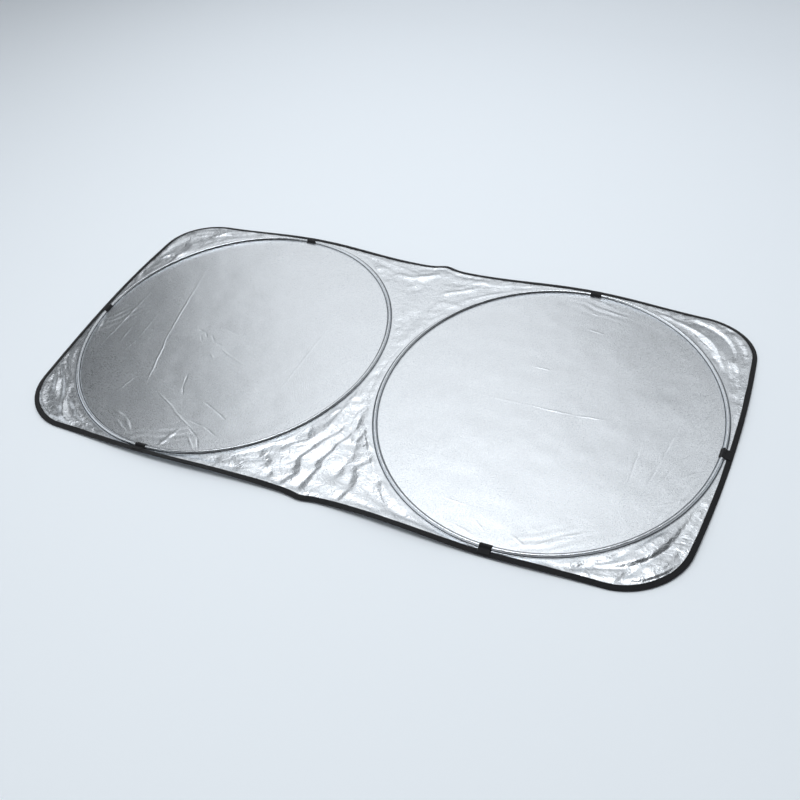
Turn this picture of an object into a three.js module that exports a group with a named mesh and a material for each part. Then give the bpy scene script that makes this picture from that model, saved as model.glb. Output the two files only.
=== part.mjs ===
// Windscreen sunshade of the two-hoop folding kind, opened out and lying on the floor.
// Millimetres, +Z up. The origin is on the floor, under the middle of the outline.
// The lower edge (the dashboard's) is at -Y and the upper edge (the sun visors') at +Y.
import * as THREE from 'three';

// Overall size, over the edge tape
const overallLength = 1500;
const overallWidth = 790;
const cornerRadius = 120;

// The long edges draw in between the tabs, in a wave, with a small peak at the middle
const upperDraw = 20;
const lowerDraw = 9;
const drawPeriod = 600;
const upperPeak = 8;
const lowerPeak = 4;
const peakHalfWidth = 26;

// The short edges bow out, and lean in toward the lower edge
const sideLean = 21;
const sideBow = 26;

// Silvered cloth
const clothThickness = 0.6;
const hoopSag = 0.8;
const foldHeight = 3.4;
const cornerFoldSpacing = 62;
const waistFoldAngle = THREE.MathUtils.degToRad(21);
const waistHalfLength = 210;
const foldRamp = 30;

// Edge tape, folded over the edge of the cloth and hanging to the floor
const tapeWidth = 11;
const tapeThickness = 0.8;
const tapeDroop = THREE.MathUtils.degToRad(22);
const tapeToCloth = 1;

// Sleeves sewn on the cloth, with a flange on each side of the arch that holds the wire
const sleeveThickness = 0.4;
const flangeWidth = 3.2;
const archFootSpread = 1.3;
const hoopMargin = 1.6;

// Hoops of flat spring-steel wire, standing on edge, with the ends butted in a crimped ferrule
const waistGap = 44;
const wireHeight = 1.8;
const wireThickness = 0.8;
const wireEndGap = 1;
const ferruleLength = 34;
const ferruleWall = 0.3;
const ferruleClearance = 0.2;

// Tape tabs over the sleeves, where the hoops come nearest to the edge
const tabWidth = 24;
const tabThickness = 0.7;
const tabLapOnTape = 8;

// Gap left between pieces that are sewn or laid together
const seamClearance = 0.3;

// Steps that curved pieces are divided in. A chord of the hoop, not a corner, lies under each tab.
const hoopSteps = 54;
const edgePitch = 38;
const foldRings = 6;
const dishRings = [0.72, 0.4];
const centreLineSteps = 18;

// Section of the edge tape, as an inset from the outline and a height. "along" runs up the slope
// from the fold, and "across" is square to it.
const tapeHalf = clothThickness / 2 + seamClearance + tapeThickness;
const slotHalf = tapeHalf - tapeThickness;
const foldInset = tapeHalf;
const legLength = tapeWidth - foldInset;

function onTape(along, across) {
  return new THREE.Vector2(
    foldInset + along * Math.cos(tapeDroop) - across * Math.sin(tapeDroop),
    tapeHalf * Math.cos(tapeDroop) + along * Math.sin(tapeDroop) + across * Math.cos(tapeDroop),
  );
}

// The cloth reaches into the slot of the tape, and leaves it at the level that it keeps elsewhere
const slotEnd = 0.2;
const clothEdge = onTape(slotEnd + seamClearance, 0);
const clothBend = onTape(legLength + tapeToCloth, 0);
const clothLevel = clothBend.y;
const clothTop = clothLevel + clothThickness / 2;

// Heights and half widths of what lies on the cloth
const ferruleHalfThickness = wireThickness / 2 + ferruleClearance + ferruleWall;
const ferruleHalfHeight = wireHeight / 2 + ferruleClearance + ferruleWall;
const wireLevel = clothTop + seamClearance + ferruleHalfHeight;
const archInnerHalf = ferruleHalfThickness + seamClearance;
const archInnerTop = wireLevel + ferruleHalfHeight + seamClearance;
const sleeveFloor = clothTop + seamClearance;
const sleeveHalf = archInnerHalf + archFootSpread + sleeveThickness + flangeWidth;
const bandHalf = sleeveHalf + seamClearance;

// Half length of the outline at a place along the short edges, and half width along the long ones
function sideReach(y) {
  const share = y / (overallWidth / 2);
  const widest = sideLean ** 2 / (4 * sideBow);
  return overallLength / 2 + sideLean * share - sideBow * share ** 2 - widest;
}

function longEdgeInset(x, draw, peak) {
  const wave = (1 - Math.cos((2 * Math.PI * (Math.abs(x) - hoopSpacing / 2)) / drawPeriod)) / 2;
  return draw * wave - peak * Math.exp(-((x / peakHalfWidth) ** 2));
}

function longEdgeReach(x, y) {
  const inset = y > 0 ? longEdgeInset(x, upperDraw, upperPeak) : longEdgeInset(x, lowerDraw, lowerPeak);
  return overallWidth / 2 - inset;
}

// Each hoop is as large as fits between the waist and the edge tape, which it comes nearest to at the tabs
const sideTabAngle = -Math.PI / hoopSteps;
const hoopInset = clothBend.x + hoopMargin + bandHalf;
const hoopHalfWidth = overallWidth / 2 - hoopInset;
const sideTabHeight = hoopHalfWidth * Math.sin(sideTabAngle);
const hoopHalfLength = (sideReach(sideTabHeight) - hoopInset - waistGap / 2) / 2;
const hoopSpacing = waistGap + 2 * hoopHalfLength;

// A station is a point on a plan path with the direction that points away from the middle
function station(point, out) {
  return { point, out: out.clone().normalize() };
}

// Right half of the outline, from the middle of the lower edge round to the middle of the upper edge
function halfEdgePoints() {
  const halfLength = overallLength / 2;
  const halfWidth = overallWidth / 2;
  const straightLength = halfLength - cornerRadius;
  const straightWidth = halfWidth - cornerRadius;
  const path = new THREE.Path();
  path.moveTo(0, -halfWidth).lineTo(straightLength, -halfWidth);
  path.absarc(straightLength, -straightWidth, cornerRadius, -Math.PI / 2, 0, false);
  path.lineTo(halfLength, straightWidth);
  path.absarc(straightLength, straightWidth, cornerRadius, 0, Math.PI / 2, false);
  path.lineTo(0, halfWidth);
  const points = [];
  for (const piece of path.curves) {
    const steps = Math.max(2, Math.round(piece.getLength() / edgePitch));
    points.push(...piece.getSpacedPoints(steps).slice(points.length ? 1 : 0));
  }
  return points.map(({ x, y }) => new THREE.Vector2(
    (x * sideReach(y)) / halfLength,
    (y * longEdgeReach(x, y)) / halfWidth,
  ));
}

function mirrored({ x, y }) {
  return new THREE.Vector2(-x, y);
}

// The whole outline as stations, counterclockwise from the middle of the lower edge
function edgeStations() {
  const right = halfEdgePoints();
  const left = right.slice(1, -1).reverse().map(mirrored);
  const loop = [...right, ...left];
  return loop.map((point, i) => {
    const before = loop.at(i - 1);
    const after = loop[(i + 1) % loop.length];
    return station(point, new THREE.Vector2(after.y - before.y, before.x - after.x));
  });
}

function hoopPoint(centreX, angle) {
  return new THREE.Vector2(
    centreX + hoopHalfLength * Math.cos(angle),
    hoopHalfWidth * Math.sin(angle),
  );
}

function hoopStations(centreX) {
  return Array.from({ length: hoopSteps }, (_, i) => {
    const angle = (2 * Math.PI * i) / hoopSteps;
    const out = new THREE.Vector2(hoopHalfWidth * Math.cos(angle), hoopHalfLength * Math.sin(angle));
    return station(hoopPoint(centreX, angle), out);
  });
}

// The straight chord of a hoop whose middle is at an angle: where it lies and which way is out
function hoopChord(centreX, angle) {
  const half = Math.PI / hoopSteps;
  const start = hoopPoint(centreX, angle - half);
  const end = hoopPoint(centreX, angle + half);
  const along = end.clone().sub(start);
  return station(start.clone().lerp(end, 0.5), new THREE.Vector2(along.y, -along.x));
}

function geometryFrom(vertices, triangles) {
  const geometry = new THREE.BufferGeometry();
  geometry.setAttribute('position', new THREE.Float32BufferAttribute(vertices.flat(), 3));
  geometry.setIndex(triangles.flat());
  geometry.computeVertexNormals();
  return geometry;
}

// Sweeps a section of (outward, height) points along plan stations. An open path gets two end caps.
function sweep(stations, section, closed) {
  const outline = THREE.ShapeUtils.isClockWise(section) ? [...section].reverse() : section;
  const count = outline.length;
  const vertices = stations.flatMap(({ point, out }) =>
    outline.map(({ x, y }) => [point.x + out.x * x, point.y + out.y * x, y]));
  const triangles = [];
  const spans = closed ? stations.length : stations.length - 1;
  for (let i = 0; i < spans; i += 1) {
    const here = i * count;
    const next = ((i + 1) % stations.length) * count;
    for (let j = 0; j < count; j += 1) {
      const k = (j + 1) % count;
      triangles.push([here + j, next + k, here + k], [here + j, next + j, next + k]);
    }
  }
  if (!closed) {
    const last = (stations.length - 1) * count;
    for (const [a, b, c] of THREE.ShapeUtils.triangulateShape(outline, [])) {
      triangles.push([a, b, c], [last + c, last + b, last + a]);
    }
  }
  return geometryFrom(vertices, triangles);
}

// Closes an open line of section points into a band of even thickness on its left side
function band(points, thickness) {
  const offset = points.map((point, i) => {
    const before = points[Math.max(i - 1, 0)];
    const after = points[Math.min(i + 1, points.length - 1)];
    const first = point.clone().sub(before).normalize();
    const second = after.clone().sub(point).normalize();
    const along = first.clone().add(second).normalize();
    const spread = Math.max(along.dot(second), along.dot(first));
    return new THREE.Vector2(
      point.x - (along.y * thickness) / spread,
      point.y + (along.x * thickness) / spread,
    );
  });
  return [...points, ...offset.reverse()];
}

// Distance outward from the band under the nearer hoop's sleeve, and inward from the outline
function distanceFromHoop(x, y) {
  const dx = Math.abs(x) - hoopSpacing / 2;
  const share = Math.hypot(dx / (hoopHalfLength + bandHalf), y / (hoopHalfWidth + bandHalf));
  return share > 1 ? Math.hypot(dx, y) * (1 - 1 / share) : 0;
}

function distanceFromEdge(x, y) {
  const straightLength = overallLength / 2 - cornerRadius;
  const straightWidth = overallWidth / 2 - cornerRadius;
  const dx = (Math.abs(x) * overallLength) / 2 / sideReach(y) - straightLength;
  const dy = (Math.abs(y) * overallWidth) / 2 / longEdgeReach(x, y) - straightWidth;
  const past = Math.hypot(Math.max(dx, 0), Math.max(dy, 0));
  return cornerRadius - past - Math.min(Math.max(dx, dy), 0);
}

function ramp(distance) {
  return THREE.MathUtils.smoothstep(distance, 0, foldRamp);
}

// Slack folds: in the corners they follow the hoops, and in the waist they fan out from its middle
function foldsAt(x, y) {
  const fromHoop = distanceFromHoop(x, y);
  const slack = ramp(fromHoop) * ramp(distanceFromEdge(x, y) - clothBend.x);
  const turn = Math.atan2(y, Math.abs(x) - hoopSpacing / 2);
  const cornerPhase = (2 * Math.PI * fromHoop) / cornerFoldSpacing + Math.sin(3 * turn + Math.sign(x));
  const corner = Math.sin(cornerPhase);
  const fan = Math.atan2(x, Math.abs(y));
  const waist = Math.cos((2 * Math.PI * fan) / waistFoldAngle + Math.sign(y));
  const inWaist = 1 - THREE.MathUtils.smoothstep(Math.abs(x), waistHalfLength / 2, waistHalfLength);
  return foldHeight * slack * THREE.MathUtils.lerp(corner, waist, inWaist);
}

// Plan lines that the right half of the cloth is laid out on: where it leaves the tape, its edge, the
// whole limit of the half with the middle line of the cloth, and the two sides of the band under the
// sleeve. The last three have a point on each spoke from the middle of the hoop.
function clothLines() {
  const edge = edgeStations();
  const rightEdge = edge.slice(0, edge.length / 2 + 1);
  const insetBy = (distance) =>
    rightEdge.map(({ point, out }) => point.clone().addScaledVector(out, -distance));
  const bends = insetBy(clothBend.x);
  const [lowest, highest] = [bends[0], bends.at(-1)];
  const centreLine = Array.from({ length: centreLineSteps - 1 }, (_, i) =>
    highest.clone().lerp(lowest, (i + 1) / centreLineSteps));
  const limit = [...bends, ...centreLine];
  if (limit.length % 2) {
    limit.push(limit.at(-1).clone().lerp(lowest, 0.5));
  }
  const centre = new THREE.Vector2(hoopSpacing / 2, 0);
  const roundHoop = (grow) => limit.map((point) => {
    const spoke = point.clone().sub(centre);
    const share = Math.hypot(spoke.x / (hoopHalfLength + grow), spoke.y / (hoopHalfWidth + grow));
    return centre.clone().addScaledVector(spoke, 1 / share);
  });
  return {
    centre,
    bends,
    edges: insetBy(clothEdge.x),
    limit,
    inner: roundHoop(-bandHalf),
    outer: roundHoop(bandHalf),
  };
}

function raised({ x, y }, height) {
  return new THREE.Vector3(x, y, height);
}

function joinRings(from, to) {
  return from.flatMap((point, i) => {
    const next = (i + 1) % from.length;
    return [[point, from[next], to[next]], [point, to[next], to[i]]];
  });
}

// The band under the sleeve, and the slack rings from it out to the limit. Direction is -1 for the
// left half and 1 for the right, which differ only in their folds.
function slackCloth({ limit, inner, outer }, direction) {
  let ring = outer.map((point) => raised(point, clothLevel));
  const triangles = joinRings(inner.map((point) => raised(point, clothLevel)), ring);
  for (let i = 1; i <= foldRings; i += 1) {
    const next = outer.map((point, j) => {
      const place = point.clone().lerp(limit[j], i / foldRings);
      return raised(place, clothLevel + foldsAt(direction * place.x, place.y));
    });
    triangles.push(...joinRings(ring, next));
    ring = next;
  }
  return triangles;
}

// The margin that slopes down into the slot of the tape
function clothMargin({ bends, edges }) {
  return bends.slice(1).flatMap((bend, i) => {
    const a = raised(bends[i], clothLevel);
    const b = raised(bend, clothLevel);
    const c = raised(edges[i + 1], clothEdge.y);
    const d = raised(edges[i], clothEdge.y);
    return [[a, b, c], [a, c, d]];
  });
}

// The taut cloth inside the hoop, dished, with half as many spokes
function tautCloth({ centre, inner }) {
  const rim = inner.map((point) => raised(point, clothLevel));
  const spokes = inner.filter((_, i) => i % 2 === 0);
  const dished = (share) => spokes.map((point) =>
    raised(centre.clone().lerp(point, share), clothLevel - hoopSag * (1 - share ** 2)));
  let ring = dished(dishRings[0]);
  const triangles = ring.flatMap((point, i) => {
    const next = ring[(i + 1) % ring.length];
    const [a, b, c] = [0, 1, 2].map((step) => rim[(2 * i + step) % rim.length]);
    return [[point, a, b], [point, b, next], [next, b, c]];
  });
  for (const share of dishRings.slice(1)) {
    const next = dished(share);
    triangles.push(...joinRings(ring, next));
    ring = next;
  }
  const bottom = raised(centre, clothLevel - hoopSag);
  return [...triangles, ...ring.map((point, i) => [bottom, point, ring[(i + 1) % ring.length]])];
}

// One half of the cloth as triangles in its middle surface, from the hoop's centre to the tape's slot
function halfCloth(direction) {
  const lines = clothLines();
  return [...slackCloth(lines, direction), ...clothMargin(lines), ...tautCloth(lines)].map((corners) =>
    corners.map(({ x, y, z }) => new THREE.Vector3(direction * x, y, z)));
}

// Thickens a sheet of triangles up and down, and closes it along its free edge
function thickened(triangles, thickness) {
  const middle = [];
  const seen = new Map();
  const indexOf = (point) => {
    const key = [point.x, point.y].map((value) => Math.round(value * 1000)).join(' ');
    if (!seen.has(key)) {
      seen.set(key, middle.length);
      middle.push(point);
    }
    return seen.get(key);
  };
  const upward = triangles.map((corners) => {
    const [a, b, c] = corners;
    const turn = (b.x - a.x) * (c.y - a.y) - (b.y - a.y) * (c.x - a.x);
    return (turn > 0 ? corners : [a, c, b]).map(indexOf);
  });
  const below = middle.length;
  const vertices = [1, -1].flatMap((side) =>
    middle.map(({ x, y, z }) => [x, y, z + (side * thickness) / 2]));
  const faces = upward.flatMap(([a, b, c]) => [[a, b, c], [below + a, below + c, below + b]]);
  const sides = new Set(upward.flatMap(([a, b, c]) => [`${a} ${b}`, `${b} ${c}`, `${c} ${a}`]));
  for (const side of sides) {
    const [a, b] = side.split(' ').map(Number);
    if (!sides.has(`${b} ${a}`)) {
      faces.push([a, below + a, below + b], [a, below + b, b]);
    }
  }
  return geometryFrom(vertices, faces);
}

function fabricPanel() {
  return thickened([...halfCloth(-1), ...halfCloth(1)], clothThickness);
}

function edgeTape() {
  const section = [
    onTape(legLength, -slotHalf),
    onTape(legLength, -tapeHalf),
    onTape(0, -tapeHalf),
    new THREE.Vector2(0, 0),
    onTape(0, tapeHalf),
    onTape(legLength, tapeHalf),
    onTape(legLength, slotHalf),
    onTape(slotEnd, slotHalf),
    onTape(slotEnd, -slotHalf),
  ];
  return sweep(edgeStations(), section.map(({ x, y }) => new THREE.Vector2(-x, y)), true);
}

// The inner face of a sleeve's section, from its outer flange over the arch to its inner flange
function sleeveLine() {
  const foot = archInnerHalf + archFootSpread;
  return [
    [sleeveHalf, sleeveFloor],
    [foot, sleeveFloor],
    [archInnerHalf, archInnerTop],
    [-archInnerHalf, archInnerTop],
    [-foot, sleeveFloor],
    [-sleeveHalf, sleeveFloor],
  ].map(([x, y]) => new THREE.Vector2(x, y));
}

function hoopSleeve(centreX) {
  return sweep(hoopStations(centreX), band(sleeveLine().reverse(), sleeveThickness), true);
}

const jointAngle = -Math.PI / 2;

// The hoop's wire is open by a small gap in the middle of the chord that the ferrule covers
function hoopWire(centreX) {
  const joint = hoopChord(centreX, jointAngle);
  const along = new THREE.Vector2(-joint.out.y, joint.out.x);
  const start = joint.point.clone().addScaledVector(along, wireEndGap / 2);
  const end = joint.point.clone().addScaledVector(along, -wireEndGap / 2);
  const first = Math.ceil((jointAngle / (2 * Math.PI)) * hoopSteps) + hoopSteps;
  const stations = hoopStations(centreX);
  const ordered = stations.map((_, i) => stations[(first + i) % hoopSteps]);
  const section = rectangle(wireThickness / 2, wireHeight / 2, wireLevel);
  return sweep([station(start, joint.out), ...ordered, station(end, joint.out)], section, false);
}

function rectangle(halfWidth, halfHeight, middle) {
  return [[-1, -1], [1, -1], [1, 1], [-1, 1]].map(([x, y]) =>
    new THREE.Vector2(x * halfWidth, middle + y * halfHeight));
}

// Extrudes a section of (outward, height) points along the edge, centred on the section
function extrudeAlongEdge(shape, length) {
  const geometry = new THREE.ExtrudeGeometry(shape, { depth: length, bevelEnabled: false });
  geometry.translate(0, 0, -length / 2);
  geometry.rotateX(Math.PI / 2);
  return geometry;
}

function wireFerrule() {
  const shape = new THREE.Shape(rectangle(ferruleHalfThickness, ferruleHalfHeight, wireLevel));
  const bore = rectangle(
    wireThickness / 2 + ferruleClearance,
    wireHeight / 2 + ferruleClearance,
    wireLevel,
  );
  shape.holes.push(new THREE.Path(bore.reverse()));
  return extrudeAlongEdge(shape, ferruleLength);
}

// A tab lies on the tape's upper leg, crosses to the sleeve and goes over its arch to the inner flange
function tapeTab(tapeInset) {
  const sleeve = band(sleeveLine().reverse(), sleeveThickness).slice(sleeveLine().length);
  const over = sleeve.map(({ x, y }) => {
    const outward = Math.abs(x) < archInnerHalf + sleeveThickness * 2 ? seamClearance * Math.sign(x) : 0;
    return new THREE.Vector2(x + outward, y + seamClearance);
  });
  const lapStart = onTape(legLength - tabLapOnTape, tapeHalf + seamClearance);
  const lapEnd = onTape(legLength, tapeHalf + seamClearance);
  const onLeg = [lapStart, lapEnd].map(({ x, y }) => new THREE.Vector2(tapeInset - x, y));
  const line = [...onLeg, ...over].reverse();
  return extrudeAlongEdge(new THREE.Shape(band(line, tabThickness)), tabWidth);
}

const finishes = {
  cloth: new THREE.MeshStandardMaterial({ color: 0xc4cdd6, roughness: 0.38, metalness: 0.55 }),
  sleeve: new THREE.MeshStandardMaterial({ color: 0xb3bcc6, roughness: 0.34, metalness: 0.6 }),
  tape: new THREE.MeshStandardMaterial({ color: 0x1b1c1f, roughness: 0.85, metalness: 0 }),
  springSteel: new THREE.MeshStandardMaterial({ color: 0x6f7276, roughness: 0.4, metalness: 1 }),
  ferrule: new THREE.MeshStandardMaterial({ color: 0xa6a8aa, roughness: 0.45, metalness: 1 }),
};

function named(name, geometry, finish) {
  const mesh = new THREE.Mesh(geometry, finish);
  mesh.name = name;
  return mesh;
}

// Sets a piece on a chord of a hoop, with its +X turned outward
function placeOnChord(mesh, chord) {
  mesh.position.set(chord.point.x, chord.point.y, 0);
  mesh.rotation.z = Math.atan2(chord.out.y, chord.out.x);
  return mesh;
}

function hoopAssembly(side, direction) {
  const centreX = (direction * hoopSpacing) / 2;
  const group = new THREE.Group();
  group.add(named(`hoop_sleeve_${side}`, hoopSleeve(centreX), finishes.sleeve));
  group.add(named(`hoop_wire_${side}`, hoopWire(centreX), finishes.springSteel));
  const ferrule = named(`wire_ferrule_${side}`, wireFerrule(), finishes.ferrule);
  group.add(placeOnChord(ferrule, hoopChord(centreX, jointAngle)));

  const sideAngle = direction > 0 ? sideTabAngle : Math.PI - sideTabAngle;
  const tabs = { upper: Math.PI / 2, lower: -Math.PI / 2, side: sideAngle };
  for (const [place, angle] of Object.entries(tabs)) {
    const chord = hoopChord(centreX, angle);
    const reach = place === 'side'
      ? sideReach(chord.point.y) - Math.abs(chord.point.x)
      : longEdgeReach(chord.point.x, chord.point.y) - Math.abs(chord.point.y);
    group.add(placeOnChord(named(`tab_${place}_${side}`, tapeTab(reach), finishes.tape), chord));
  }
  return group;
}

const sunshade = new THREE.Group();
sunshade.add(named('fabric_panel', fabricPanel(), finishes.cloth));
sunshade.add(named('edge_binding', edgeTape(), finishes.tape));
sunshade.add(hoopAssembly('left', -1));
sunshade.add(hoopAssembly('right', 1));

export default sunshade;
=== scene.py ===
"""Windscreen sunshade of the two-hoop folding kind, opened out on a pale studio floor.

Everything is in metres, +Z up, with the origin on the floor under the middle of the outline. The
lower edge (the dashboard's) is at -Y and the upper edge (the sun visors') at +Y.
"""

import logging
import math
from dataclasses import dataclass, field
from enum import Enum

import bpy
import numpy as np
from mathutils import Matrix, Vector


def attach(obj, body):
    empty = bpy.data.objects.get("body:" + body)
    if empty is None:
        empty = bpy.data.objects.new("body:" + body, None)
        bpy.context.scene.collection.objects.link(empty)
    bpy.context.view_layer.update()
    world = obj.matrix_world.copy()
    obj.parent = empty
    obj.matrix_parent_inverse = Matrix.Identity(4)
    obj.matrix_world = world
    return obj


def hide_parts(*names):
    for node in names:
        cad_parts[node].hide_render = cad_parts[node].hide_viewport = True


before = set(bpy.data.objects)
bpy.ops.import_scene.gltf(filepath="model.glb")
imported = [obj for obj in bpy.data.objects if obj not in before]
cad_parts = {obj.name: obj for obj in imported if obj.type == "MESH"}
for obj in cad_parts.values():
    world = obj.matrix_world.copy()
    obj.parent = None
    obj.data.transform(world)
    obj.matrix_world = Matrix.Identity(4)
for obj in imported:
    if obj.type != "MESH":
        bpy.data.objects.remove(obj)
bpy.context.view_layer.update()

LOG = logging.getLogger("sunshade")
MM = 0.001
BODY = "root"


class Side(Enum):
    """Half of the sunshade, as the sign of its X."""

    LEFT = -1
    RIGHT = 1

    @property
    def word(self) -> str:
        """The name that the half has in the names of its pieces."""
        return self.name.lower()


class Place(Enum):
    """Where round its hoop a tape tab sits."""

    UPPER = "upper"
    LOWER = "lower"
    SIDE = "side"


def linear(colour: str) -> tuple[float, float, float, float]:
    """Turns an sRGB hex colour into the linear one that shaders take.

    Args:
        colour: The colour as "#RRGGBB".

    Returns:
        Linear red, green, blue and an alpha of 1.
    """
    channels = [int(colour[i : i + 2], 16) / 255 for i in (1, 3, 5)]
    return (*[c / 12.92 if c <= 0.04045 else ((c + 0.055) / 1.055) ** 2.4 for c in channels], 1.0)


def add_node(
    tree: bpy.types.NodeTree, kind: str, settings: dict | None = None, **links: object
) -> bpy.types.Node:
    """Adds a node with its settings and its inputs.

    Args:
        tree: The tree that takes the node.
        kind: The node's type name, without "ShaderNode".
        settings: Attributes of the node.
        **links: Input socket names, with _ for a space, or in0, in1 for sockets by number, and
            the socket that each is linked to or the value that it is set to.

    Returns:
        The node.
    """
    node = tree.nodes.new(f"ShaderNode{kind}")
    for name, value in (settings or {}).items():
        setattr(node, name, value)
    for name, value in links.items():
        key = int(name[2:]) if name[:2] == "in" and name[2:].isdigit() else name.replace("_", " ")
        if isinstance(value, bpy.types.NodeSocket):
            tree.links.new(value, node.inputs[key])
        else:
            node.inputs[key].default_value = value
    return node


def fade(share: np.ndarray) -> np.ndarray:
    """Smooth step from 0 to 1, held outside."""
    held = np.clip(share, 0, 1)
    return held * held * (3 - 2 * held)


def corner_values(u: np.ndarray, v: np.ndarray, seed: int) -> tuple[list, np.ndarray, np.ndarray]:
    """Random values from -1 to 1 at the corners of the cell that each point is in.

    Args:
        u: First coordinate, in cells.
        v: Second coordinate, in cells.
        seed: Seed of the random values.

    Returns:
        The values at the lower left, lower right, upper left and upper right corner, and how far
        along and across its cell each point is.
    """
    size = 128
    values = np.random.default_rng(seed).uniform(-1, 1, (size, size))
    column, row = np.floor(u).astype(int), np.floor(v).astype(int)
    corners = [values[(column + i) % size, (row + j) % size] for j in (0, 1) for i in (0, 1)]
    return corners, u - column, v - row


def smooth_noise(u: np.ndarray, v: np.ndarray, seed: int) -> np.ndarray:
    """Smooth bumps from -1 to 1 with one random value at each whole number.

    Args:
        u: First coordinate, in cells.
        v: Second coordinate, in cells.
        seed: Seed of the random values.

    Returns:
        The noise at each point.
    """
    (a, b, c, d), along, across = corner_values(u, v, seed)
    along, across = fade(along), fade(across)
    lower = a * (1 - along) + b * along
    upper = c * (1 - along) + d * along
    return lower * (1 - across) + upper * across


def ridges(u: np.ndarray, v: np.ndarray, seed: int) -> np.ndarray:
    """Creased noise, with sharp crests and round valleys, from -1 to 1."""
    return 1 - 2 * np.abs(smooth_noise(u, v, seed))


def facets(u: np.ndarray, v: np.ndarray, seed: int) -> np.ndarray:
    """Noise of flat three-cornered facets that meet in sharp creases, from -1 to 1.

    Args:
        u: First coordinate, in cells.
        v: Second coordinate, in cells.
        seed: Seed of the random values.

    Returns:
        The noise at each point.
    """
    bend = 0.35
    u = u + bend * smooth_noise(u / 1.9, v / 1.9, seed + 100)
    v = v + bend * smooth_noise(u / 2.1, v / 2.1, seed + 101)
    (a, b, c, d), along, across = corner_values(u, v, seed)
    lower = a + (b - a) * along + (d - b) * across
    upper = a + (d - c) * along + (c - a) * across
    return np.where(along > across, lower, upper)


def sawtooth(phase: np.ndarray, lean: float) -> np.ndarray:
    """Straight-sided wave from -1 to 1 with crisp crests, one to each whole number.

    Args:
        phase: Place along the wave, in waves.
        lean: Share of each wave that rises.

    Returns:
        The wave at each place.
    """
    place = phase - np.floor(phase)
    return 2 * np.where(place < lean, place / lean, (1 - place) / (1 - lean)) - 1


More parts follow.
